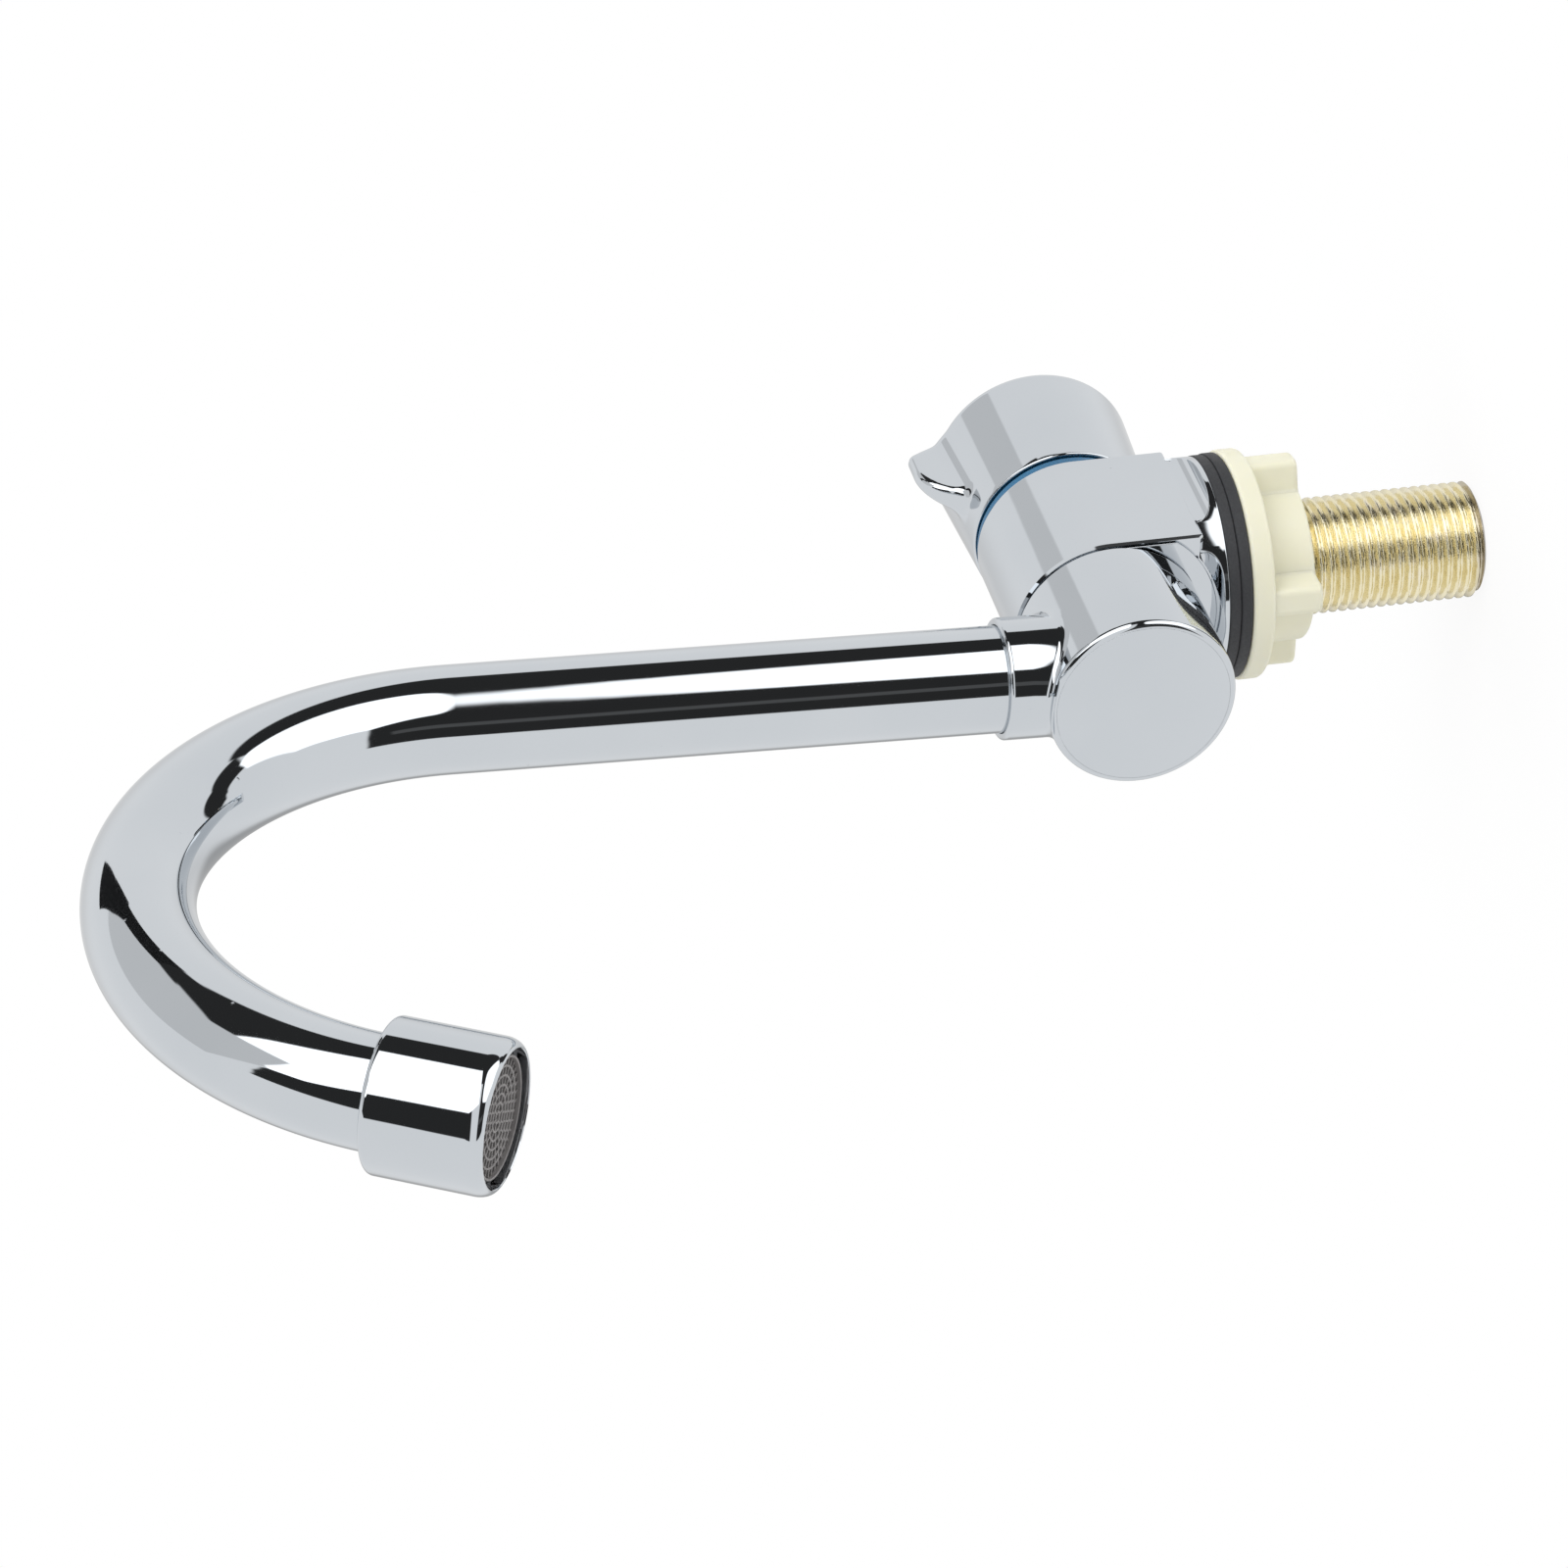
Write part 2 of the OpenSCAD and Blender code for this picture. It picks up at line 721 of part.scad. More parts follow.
module handle_outline() {
    length = handle_end - handle_near;
    straight = length - handle_round;
    polygon([[0, 0], [handle_near_r, 0], [handle_far_r, straight], [0, straight]]);
    square([handle_face_r, length]);
    translate([handle_face_r, straight]) circle(r = handle_round);
}

// A beak that slopes from the handle's end to a small tip and curves back under to its foot
module nib_outline() {
    hull() {
        translate([nib_reach - nib_tip_r, handle_end - nib_tip_in]) circle(r = nib_tip_r, $fn = small_fn);
        translate([nib_reach - nib_heel_r, handle_end - nib_heel_in]) circle(r = nib_heel_r);
        translate([nib_root, handle_end - nib_len]) square(dot);
        translate([handle_face_r, handle_end - nib_drop - dot]) square(dot);
    }
}

module finger_nib() {
    root = nib_root_t / 2;
    tip = nib_tip_t / 2;
    far = nib_reach + over;
    rotate(nib_bearing)
        intersection() {
            translate([0, nib_root_t, 0]) rotate([90, 0, 0]) linear_extrude(2 * nib_root_t) nib_outline();
            translate([0, 0, handle_near])
                linear_extrude(handle_end - handle_near)
                    polygon([[nib_root, -root], [far, -tip], [far, tip], [nib_root, root]]);
        }
}

module handle_shell() {
    color(chrome)
    valve_side()
    difference() {
        union() {
            difference() {
                union() {
                    translate([0, 0, handle_near]) rotate_extrude() handle_outline();
                    finger_nib();
                }
                rod(handle_near_r - handle_wall, handle_near - over, handle_inside);
            }
            rod(boss_r, snap_end + boss_room, handle_inside + eps);
        }
        translate([0, 0, snap_end])
            linear_extrude(drive_len + drive_room) double_d(spindle_r, drive_af + 2 * fit_room);
        rod(screw_r + fit_room, spindle_end, handle_end);
        rod(screw_head_r + fit_room, head_floor, handle_end);
        rod(cap_r + fit_room, cap_floor, handle_end + over);
    }
}

module handle_cap() {
    color(chrome)
        valve_side() rod(cap_r, cap_floor, handle_end);
}

module handle_screw() {
    color(steel)
    valve_side() {
        difference() {
            rod(screw_head_r, head_floor, head_floor + screw_head_h);
            translate([0, 0, head_floor + screw_head_h / 2])
                for (a = [0, 90])
                    rotate(a)
                        translate([-screw_r, -slot_w / 2, 0])
                            cube([2 * screw_r, slot_w, screw_head_h]);
        }
        rod(screw_r, spindle_end - screw_grip, head_floor + eps);
    }
}

module spindle() {
    color(brass)
    valve_side()
    difference() {
        union() {
            rod(disc_r, driver_foot, driver_top);
            rod(spindle_r, driver_top - eps, snap_end);
            translate([0, 0, snap_end - eps])
                linear_extrude(drive_len + eps) double_d(spindle_r - fit_room, drive_af);
            for (s = [-1, 1])
                translate([0, s * dog_offset, 0]) rod(dog_r, driver_foot - dog_len, driver_foot + eps);
        }
        groove(spindle_r, snap_depth, (neck_end + snap_end) / 2, snap_end - neck_end);
        groove(spindle_r, seal_depth, (driver_top + hex_foot) / 2, seal_groove_w);
        rod(screw_r + fit_room, spindle_end - screw_grip - screw_room, spindle_end + over);
    }
}

module spindle_seal() {
    color(rubber)
        valve_side() seal_ring(spindle_r, (driver_top + hex_foot) / 2);
}

module spindle_snap_ring() {
    color(steel)
        valve_side() snap_ring(spindle_r - snap_depth, spindle_r - snap_depth + snap_w, neck_end + fit_room);
}

module moving_disc() {
    color(ceramic)
        valve_side()
            translate([0, 0, disc_split])
                linear_extrude(disc_t)
                    difference() {
                        circle(r = disc_r);
                        difference() {
                            quarter_sectors(disc_r);
                            circle(r = disc_eye_r);
                        }
                        for (s = [-1, 1])
                            translate([0, s * dog_offset]) circle(r = dog_r + fit_room);
                    }
}

// Pieces of the folding drum

module drum_outline() {
    length = drum_end - drum_root;
    straight = length - drum_round;
    square([drum_r, straight]);
    square([cap_disc_r, length]);
    translate([cap_disc_r, straight]) circle(r = drum_round);
}

module spout_hub() {
    color(chrome)
    difference() {
        union() {
            hub_side() translate([0, 0, drum_root]) rotate_extrude() drum_outline();
            collar_frame() {
                rod(collar_r, 0, collar_end - collar_chamfer);
                translate([0, 0, collar_end - collar_chamfer])
                    cylinder(h = collar_chamfer, r1 = collar_r, r2 = collar_r - collar_chamfer);
            }
        }
        hub_side() {
            rod(drum_bore_r, drum_root - over, drum_end);
            rod(chamber_r, tube_x - chamber_half, tube_x + chamber_half);
            rod(drum_pocket_r, pocket_step, drum_end);
            rod(cap_disc_r + fit_room, cap_seat, drum_end + over);
        }
        collar_frame() {
            rod(collar_bore_r, collar_floor, collar_end + over);
            translate([0, 0, collar_end - mouth_chamfer])
                cylinder(h = mouth_chamfer + over, r1 = collar_bore_r, r2 = mouth_r + over);
            rod(collar_port_r, 0, collar_floor + over);
            rod(snap_groove_r, spout_snap_foot - snap_room, spout_snap_foot + snap_t + snap_room);
        }
    }
}

module end_cap() {
    color(chrome)
        hub_side() {
            rod(cap_disc_r, cap_seat, drum_end);
            rod(drum_pocket_r - fit_room, cap_seat - end_cap_plug, cap_seat + eps);
        }
}

// Pieces of the spout

module spout_ferrule() {
    color(brass)
    swivel_frame()
    difference() {
        union() {
            rod(tube_r, ferrule_foot, tube_foot);
            rod(tube_bore_r - fit_room, tube_foot - eps, tube_foot + ferrule_spigot);
        }
        rod(ferrule_bore_r, ferrule_foot - over, tube_foot + ferrule_spigot + over);
        for (z = [spout_seal_1, spout_seal_2])
            groove(tube_r, seal_depth, z, seal_groove_w);
        groove(tube_r, snap_depth, spout_snap_foot + snap_t / 2, snap_t + 2 * fit_room);
    }
}

module spout_seals() {
    color(rubber)
        swivel_frame()
            for (z = [spout_seal_1, spout_seal_2])
                seal_ring(tube_r, z);
}

module spout_snap_ring() {
    color(steel)
        swivel_frame()
            snap_ring(tube_r - snap_depth + fit_room, tube_r + snap_depth - 2 * snap_room, spout_snap_foot);
}

module spout_tube() {
    color(chrome)
    swivel_frame() {
        tube(tube_r, tube_bore_r, tube_foot, bend_start);
        translate([bend_r, 0, bend_start])
            rotate([90, 0, 180])
                rotate_extrude(angle = bend_angle)
                    translate([bend_r, 0])
                        difference() {
                            circle(r = tube_r);
                            circle(r = tube_bore_r);
                        }
    }
}

module outlet_nipple() {
    color(brass)
    outlet_frame()
    difference() {
        union() {
            rod(tube_r, 0, nipple_foot + eps);
            rod(nipple_r, nipple_foot, nipple_end);
        }
        rod(tube_bore_r, -over, nipple_inside);
        rod(nipple_r - nipple_wall, nipple_inside, nipple_end + over);
    }
}

module shell_outline() {
    half = shell_len / 2;
    difference() {
        union() {
            translate([0, shell_round]) square([shell_r, shell_len - 2 * shell_round]);
            square([shell_r - shell_round, shell_len]);
            for (z = [shell_round, shell_len - shell_round])
                translate([shell_r - shell_round, z]) circle(r = shell_round);
        }
        translate([0, -over]) square([tube_r + ring_room, half]);
        translate([0, shell_wall]) square([shell_bore_r, lip_foot - shell_wall]);
        translate([0, half]) square([shell_bore_r - lip_w, shell_len]);
    }
}

module aerator_shell() {
    color(chrome) outlet_frame() rotate_extrude() shell_outline();
}

module aerator_washer() {
    color(rubber)
        outlet_frame() tube(insert_r, insert_r - washer_w, nipple_end, washer_end);
}

module aerator_insert() {
    bore = insert_r - insert_wall;
    step = bore / (grid_rings + 0.5);
    color(grey)
    outlet_frame() {
        tube(insert_r, bore, insert_foot, insert_end);
        translate([0, 0, grid_foot])
            linear_extrude(grid_t)
                union() {
                    for (i = [1 : grid_rings])
                        difference() {
                            circle(r = i * step + grid_bar / 2);
                            circle(r = i * step - grid_bar / 2);
                        }
                    difference() {
                        for (i = [0 : grid_spokes / 2 - 1])
                            rotate(i * 360 / grid_spokes)
                                square([2 * bore + insert_wall, grid_bar], center = true);
                        circle(r = step - grid_bar / 4);
                    }
                }
    }
}

module aerator_screen() {
    color(steel)
        outlet_frame() rod(insert_r - insert_wall - fit_room, screen_foot, screen_foot + screen_t);
}

body_casting();
seat_ring();
deck_washer();
inlet_shank();
shank_seal();
cold_ring();
valve_housing();
housing_seal();
inlet_seal();
fixed_disc();
pivot_stem();
stem_seals();
thrust_washer();
spring_washer();
pivot_snap_ring();
back_nut();
handle_shell();
handle_cap();
handle_screw();
spindle();
spindle_seal();
spindle_snap_ring();
moving_disc();
spout_hub();
end_cap();
spout_ferrule();
spout_seals();
spout_snap_ring();
spout_tube();
outlet_nipple();
aerator_shell();
aerator_washer();
aerator_insert();
aerator_screen();
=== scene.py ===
import json
import math

import bmesh
import bpy
import numpy as np
from mathutils import Matrix, Vector


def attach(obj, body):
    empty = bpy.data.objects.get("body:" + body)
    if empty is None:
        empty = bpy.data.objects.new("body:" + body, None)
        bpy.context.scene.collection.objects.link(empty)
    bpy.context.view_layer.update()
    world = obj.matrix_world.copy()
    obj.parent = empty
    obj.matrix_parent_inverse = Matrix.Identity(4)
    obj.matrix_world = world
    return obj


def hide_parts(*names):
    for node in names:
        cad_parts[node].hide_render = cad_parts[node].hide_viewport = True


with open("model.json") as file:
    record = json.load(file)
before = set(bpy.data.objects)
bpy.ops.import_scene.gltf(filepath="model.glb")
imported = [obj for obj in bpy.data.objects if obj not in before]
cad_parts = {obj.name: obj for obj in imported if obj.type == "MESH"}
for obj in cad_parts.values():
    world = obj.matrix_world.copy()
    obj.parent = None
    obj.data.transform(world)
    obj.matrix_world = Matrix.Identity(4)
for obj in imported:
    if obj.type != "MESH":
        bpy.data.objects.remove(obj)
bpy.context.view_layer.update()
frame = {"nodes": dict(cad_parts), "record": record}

scene = bpy.context.scene
scene.view_settings.view_transform = "Standard"
mm = 0.001

# where the barrel axis, the spout and its outlet lie, in millimetres and degrees
layout = {"axisHeight": 25.2, "tubeX": 29.2, "lean": 2.5, "turn": 4, "bendStart": 120, "bendRadius": 60,
          "bendAngle": 151}


def moved(x, y, z):
    return Matrix.Translation((x, y, z))


def turned(degrees, axis):
    return Matrix.Rotation(math.radians(degrees), 4, axis)


upright = Matrix.Identity(4)
inMillimetres = Matrix.Scale(1 / mm, 4)  # for a base mesh that a node tree builds on
axisPlace = moved(0, 0, layout["axisHeight"])
valveSide = axisPlace @ turned(-90, "Y")  # height runs to -X, towards the handle
foldSide = axisPlace @ turned(-layout["lean"], "X")
hubSide = foldSide @ turned(90, "Y")  # height runs to +X, towards the drum's end
collarSide = foldSide @ moved(layout["tubeX"], 0, 0)
swivelSide = collarSide @ turned(layout["turn"], "Z")
outletSide = (swivelSide @ moved(layout["bendRadius"], 0, layout["bendStart"])
              @ turned(layout["bendAngle"], "Y") @ moved(-layout["bendRadius"], 0, 0))
edgeSteps = [math.radians(90 * k / 6) for k in range(7)]  # a rounded edge in six steps


def hexColour(text):
    parts = [int(text[i:i + 2], 16) / 255 for i in (1, 3, 5)]
    return tuple(p / 12.92 if p <= 0.04045 else ((p + 0.055) / 1.055) ** 2.4 for p in parts) + (1.0,)


def addNode(tree, kind, inputs=None, **settings):
    node = tree.nodes.new(kind)
    for key, value in settings.items():
        setattr(node, key, value)
    for key, values in (inputs or {}).items():
        for value in values if isinstance(values, list) else [values]:
            if isinstance(value, bpy.types.Node):
                value = value.outputs[0]
            if isinstance(value, bpy.types.NodeSocket):
                tree.links.new(value, node.inputs[key])
            else:
                node.inputs[key].default_value = value
    return node


def addObject(name, data):
    made = bpy.data.objects.new(name, data)
    scene.collection.objects.link(made)
    return made


def startMaterial(name):
    material = bpy.data.materials.new(name)
    material.use_nodes = True
    tree = material.node_tree
    tree.nodes.clear()
    return material, tree, addNode(tree, "ShaderNodeTexCoord").outputs["Object"]


def endMaterial(material, tint, gloss, bump, metallic, **sockets):
    inputs = {"Base Color": tint, "Roughness": gloss, "Normal": bump, "Metallic": metallic}
    inputs.update({key.replace("_", " "): value for key, value in sockets.items()})
    shader = addNode(material.node_tree, "ShaderNodeBsdfPrincipled", inputs)
    addNode(material.node_tree, "ShaderNodeOutputMaterial", {"Surface": shader})
    return material


# Polished chrome plate: a mirror with a cool grey cast, a faint plating ripple and a few tiny pits
def makeChrome():
    look = {"pale": "#cdd1d5", "deep": "#c3c8cd", "ripple": 11, "rippleDepth": 0.012, "haze": 30,
            "gloss": (0.03, 0.06), "pitSpacing": 7, "pitDepth": 0.04, "pitGloss": 0.25}
    material, tree, place = startMaterial("polishedChromePlate")
    ripple = addNode(tree, "ShaderNodeTexNoise",
                     {"Vector": place, "Scale": 1 / (look["ripple"] * mm), "Detail": 1.0})
    haze = addNode(tree, "ShaderNodeTexNoise",
                   {"Vector": place, "Scale": 1 / (look["haze"] * mm), "Detail": 3.0})
    pits = addNode(tree, "ShaderNodeTexVoronoi", {"Vector": place, "Scale": 1 / (look["pitSpacing"] * mm)})
    pit = addNode(tree, "ShaderNodeMapRange",
                  {"Value": pits.outputs["Distance"], "From Min": 0.02, "From Max": 0.05, "To Min": 1.0,
                   "To Max": 0.0})
    tint = addNode(tree, "ShaderNodeMix", {0: haze, 6: hexColour(look["deep"]), 7: hexColour(look["pale"])},
                   data_type="RGBA")
    rough = addNode(tree, "ShaderNodeMapRange", {"Value": haze, "From Min": 0.3, "From Max": 0.75,
                                                 "To Min": look["gloss"][0], "To Max": look["gloss"][1]})
    rougher = addNode(tree, "ShaderNodeMath", {0: pit, 1: look["pitGloss"], 2: rough},
                      operation="MULTIPLY_ADD")
    wave = addNode(tree, "ShaderNodeBump",
                   {"Strength": 1.0, "Distance": look["rippleDepth"] * mm, "Height": ripple})
    dent = addNode(tree, "ShaderNodeBump",
                   {"Strength": 0.35, "Distance": look["pitDepth"] * mm, "Height": pit, "Normal": wave})
    return endMaterial(material, tint.outputs[2], rougher, dent, 1.0)


# One recipe for the moulded, turned and fired materials: two tones in soft clouds, a fine grain and a gloss
def makeFinish(name, tones, cloud, grain, rough, relief, metallic=0.0, **sockets):
    material, tree, place = startMaterial(name)
    clouds = addNode(tree, "ShaderNodeTexNoise",
                     {"Vector": place, "Scale": 1 / (cloud * mm), "Detail": 3.0})
    grains = addNode(tree, "ShaderNodeTexNoise",
                     {"Vector": place, "Scale": 1 / (grain * mm), "Detail": 2.0})
    tint = addNode(tree, "ShaderNodeMix", {0: clouds, 6: hexColour(tones[0]), 7: hexColour(tones[1])},
                   data_type="RGBA")
    gloss = addNode(tree, "ShaderNodeMapRange", {"Value": grains, "From Min": 0.3, "From Max": 0.7,
                                                 "To Min": rough[0], "To Max": rough[1]})
    bump = addNode(tree, "ShaderNodeBump", {"Strength": 0.6, "Distance": relief * mm, "Height": grains})
    return endMaterial(material, tint.outputs[2], gloss, bump, metallic, **sockets)


# Yellow-passivated zinc: straw gold with pink and green casts, worn to bare grey at the cut end
def makeZinc():
    look = {"straw": "#f4efd8", "amber": "#e6d9ae", "cast": "#e8dfd2", "bare": "#8f857c", "patch": 4.5,
            "scratch": 0.35, "scratchDepth": 0.03, "gloss": (0.19, 0.29), "endFrom": -46.3, "endTo": -43.8}
    material, tree, place = startMaterial("yellowPassivatedZinc")
    parts = addNode(tree, "ShaderNodeSeparateXYZ", {"Vector": place})
    patch = addNode(tree, "ShaderNodeTexNoise",
                    {"Vector": place, "Scale": 1 / (look["patch"] * mm), "Detail": 4.0})
    fine = addNode(tree, "ShaderNodeTexNoise",
                   {"Vector": place, "Scale": 1 / (look["scratch"] * mm), "Detail": 2.0})
    some = addNode(tree, "ShaderNodeMapRange", {"Value": patch, "From Min": 0.55, "From Max": 0.75,
                                                "To Min": 0.0, "To Max": 0.6})
    worn = addNode(tree, "ShaderNodeMapRange",
                   {"Value": parts.outputs["Z"], "From Min": look["endFrom"] * mm,
                    "From Max": look["endTo"] * mm, "To Min": 0.9, "To Max": 0.0})
    tint = hexColour(look["amber"])
    for share, tone in ((patch, "straw"), (some, "cast"), (worn, "bare")):
        mixed = addNode(tree, "ShaderNodeMix", {0: share, 6: tint, 7: hexColour(look[tone])},
                        data_type="RGBA")
        tint = mixed.outputs[2]
    gloss = addNode(tree, "ShaderNodeMapRange", {"Value": fine, "From Min": 0.3, "From Max": 0.7,
                                                 "To Min": look["gloss"][0], "To Max": look["gloss"][1]})
    bump = addNode(tree, "ShaderNodeBump",
                   {"Strength": 0.5, "Distance": look["scratchDepth"] * mm, "Height": fine})
    return endMaterial(material, tint, gloss, bump, 1.0)


chrome = makeChrome()
zinc = makeZinc()
# moulded rubber: near-black, dull, with a faint bloom and a fine grain
rubber = makeFinish("mouldedBlackRubber", ("#26272a", "#37383a"), 9, 0.35, (0.55, 0.75), 0.02)
# moulded nylon: warm cream, light sinks a little way in, satin gloss
nylon = makeFinish("mouldedCreamNylon", ("#e2dfc6", "#e8e6d1"), 14, 0.5, (0.38, 0.5), 0.012,
                   Subsurface_Weight=0.2, Subsurface_Radius=(1.0, 0.9, 0.5), Subsurface_Scale=0.002)
# moulded ABS: saturated blue with a soft sheen
blueAbs = makeFinish("mouldedBlueAbs", ("#1d587d", "#286a8f"), 8, 0.4, (0.28, 0.38), 0.008)
# turned brass: yellow metal with the fine marks of a lathe tool
brass = makeFinish("turnedBrass", ("#c79f48", "#d8b565"), 5, 0.3, (0.2, 0.34), 0.012, metallic=1.0)
# lapped alumina: off-white fired ceramic, almost glossy
ceramic = makeFinish("lappedAlumina", ("#e6e1d6", "#f1ede4"), 4, 0.2, (0.16, 0.24), 0.004)
# spring steel: bright grey strip with rolling haze
springSteel = makeFinish("brightSpringSteel", ("#9fa3a7", "#b5b9bd"), 6, 0.3, (0.22, 0.34), 0.008,
                         metallic=1.0)
# moulded acetal: warm grey, dull in the recess of the outlet
greyAcetal = makeFinish("mouldedGreyAcetal", ("#787574", "#878483"), 3, 0.25, (0.42, 0.56), 0.012)
# moulded acetal: black and slippery
blackAcetal = makeFinish("mouldedBlackAcetal", ("#1f2022", "#2b2c2e"), 4, 0.3, (0.4, 0.52), 0.008)
# drawn stainless wire: dull bright grey
wireSteel = makeFinish("drawnStainlessWire", ("#8b8c8e", "#a3a5a7"), 3, 0.2, (0.26, 0.38), 0.006,
                       metallic=1.0)
print("materials made")


def rounded(corners, steps=6, hold=0.05, closed=True, share=0.45):
    # (x, y, rounding) corners become an outline with arcs, and a support point at either end of each arc
    points = []
    count = len(corners)
    for i, (x, y, size) in enumerate(corners):
        b = np.array((x, y))
        if size <= 0 or (not closed and i in (0, count - 1)):
            points.append(tuple(b))
            continue
        u = np.array(corners[i - 1][:2]) - b
        v = np.array(corners[(i + 1) % count][:2]) - b
        lengthU, lengthV = np.linalg.norm(u), np.linalg.norm(v)
        u, v = u / lengthU, v / lengthV
        half = math.acos(max(-1, min(1, float(u @ v)))) / 2
        reach = min(size / math.tan(half), share * lengthU, share * lengthV)
        size = reach * math.tan(half)
        middle = b + (u + v) / np.linalg.norm(u + v) * size / math.sin(half)
        first, last = b + u * reach - middle, b + v * reach - middle
        start = math.atan2(first[1], first[0])
        sweep = (math.atan2(last[1], last[0]) - start + math.pi) % (2 * math.pi) - math.pi
        points.append(tuple(b + u * (reach + hold)))
        for k in range(steps + 1):
            a = start + sweep * k / steps
            points.append((middle[0] + size * math.cos(a), middle[1] + size * math.sin(a)))
        points.append(tuple(b + v * (reach + hold)))
    return points


def polarSkin(rows, angles):
    # rows of (radius, height) that may change with the angle, joined in turn; a row of radius 0 is a pole
    vertices, indices, faces = [], [], []
    flat = np.ones(len(angles))
    for radius, height in rows:
        radius, height = radius * flat, height * flat
        if radius[0] < 1e-6:
            indices.append([len(vertices)] * len(angles))
            vertices.append((0, 0, height[0]))
            continue
        indices.append(list(range(len(vertices), len(vertices) + len(angles))))
        vertices += list(zip(radius * np.cos(angles), radius * np.sin(angles), height))
    pairs = list(zip(indices, indices[1:]))
    if len(set(indices[0])) > 1:
        pairs.append((indices[-1], indices[0]))
    for lower, upper in pairs:
        for i in range(len(angles)):
            j = (i + 1) % len(angles)
            corners = list(dict.fromkeys((lower[i], lower[j], upper[j], upper[i])))
            if len(corners) > 2:
                faces.append(corners)
    return vertices, faces


def lathe(profile, segments=160):
    # (radius, height) points turned about the height axis, from axis to axis or as a closed ring
    return polarSkin(profile, 2 * np.pi * np.arange(segments) / segments)


def loft(rings):
    # rings of equally many points joined in turn, with a flat face on each end
    count = len(rings[0])
    vertices = [tuple(p) for ring in rings for p in ring]
    faces = [list(range(count)), list(range(len(vertices) - count, len(vertices)))]
    for k in range(len(rings) - 1):
        for i in range(count):
            j = (i + 1) % count
            faces.append([k * count + i, k * count + j, (k + 1) * count + j, (k + 1) * count + i])
    return vertices, faces


def closeMesh(work, mesh, sharp):
    work.to_mesh(mesh)
    work.free()
    mesh.shade_smooth()
    mesh.set_sharp_from_angle(angle=math.radians(sharp))
    return mesh


def meshFrom(name, shells, sharp=32):
    # shells are (vertices, faces, place) in millimetres; each becomes a closed skin with its faces outwards
    work = bmesh.new()
    for vertices, faces, place in shells:
        made = [work.verts.new((place @ Vector(v)) * mm) for v in vertices]
        for face in faces:
            work.faces.new([made[i] for i in face])
    bmesh.ops.remove_doubles(work, verts=work.verts, dist=1e-7)
    bmesh.ops.recalc_face_normals(work, faces=work.faces)
    return closeMesh(work, bpy.data.meshes.new(name), sharp)


def settle(mesh, material, body, slot, *nodes):
    # a finished piece: at the origin, riding on its body and standing for its nodes
    mesh.materials.clear()
    mesh.materials.append(material)
    piece = addObject(mesh.name, mesh)
    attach(piece, body)
    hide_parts(*nodes)


def growMesh(name, base, tree, sizes, material, place, sharp, recalc=True, wall=0.0):
    # runs a node tree on a base mesh, and keeps the result in place as a plain mesh with closed seams
    source = addObject(name + "Source", base)
    modifier = source.modifiers.new("grow", "NODES")
    modifier.node_group = tree
    values = {**sizes, "material": material}
    for item in tree.interface.items_tree:
        if item.in_out == "INPUT" and item.name in values:
            modifier[item.identifier] = values[item.name]
    if wall:
        shell = source.modifiers.new("wall", "SOLIDIFY")
        shell.thickness = wall
        shell.offset = -1
        shell.use_even_offset = True
    bpy.context.view_layer.update()
    grown = source.evaluated_get(bpy.context.evaluated_depsgraph_get())
    mesh = bpy.data.meshes.new_from_object(grown)
    mesh.name = name
    source.modifiers.clear()
    bpy.data.objects.remove(source)
    work = bmesh.new()
    work.from_mesh(mesh)
    bmesh.ops.remove_doubles(work, verts=work.verts, dist=1e-4)
    if recalc:
        bmesh.ops.recalc_face_normals(work, faces=work.faces)
    bmesh.ops.transform(work, matrix=Matrix.Scale(mm, 4) @ place, verts=work.verts)
    return closeMesh(work, mesh, sharp)


def startTree(name, sizes):
    # a geometry tree with a geometry input, one named input for each size, and a material input
    tree = bpy.data.node_groups.new(name, "GeometryNodeTree")
    tree.interface.new_socket(name="Geometry", in_out="OUTPUT", socket_type="NodeSocketGeometry")
    tree.interface.new_socket(name="Geometry", in_out="INPUT", socket_type="NodeSocketGeometry")
    for key, value in sizes.items():
        kind = "NodeSocketInt" if isinstance(value, int) else "NodeSocketFloat"
        tree.interface.new_socket(name=key, in_out="INPUT", socket_type=kind)
    tree.interface.new_socket(name="material", in_out="INPUT", socket_type="NodeSocketMaterial")
    inputs = addNode(tree, "NodeGroupInput").outputs
    return tree, inputs


def endTree(tree, inputs, geometry):
    # joins what was made, and ends the tree with plain geometry in its material
    joined = addNode(tree, "GeometryNodeJoinGeometry", {"Geometry": geometry})
    real = addNode(tree, "GeometryNodeRealizeInstances", {"Geometry": joined})
    dressed = addNode(tree, "GeometryNodeSetMaterial", {"Geometry": real, "Material": inputs["material"]})
    addNode(tree, "NodeGroupOutput", {"Geometry": dressed})


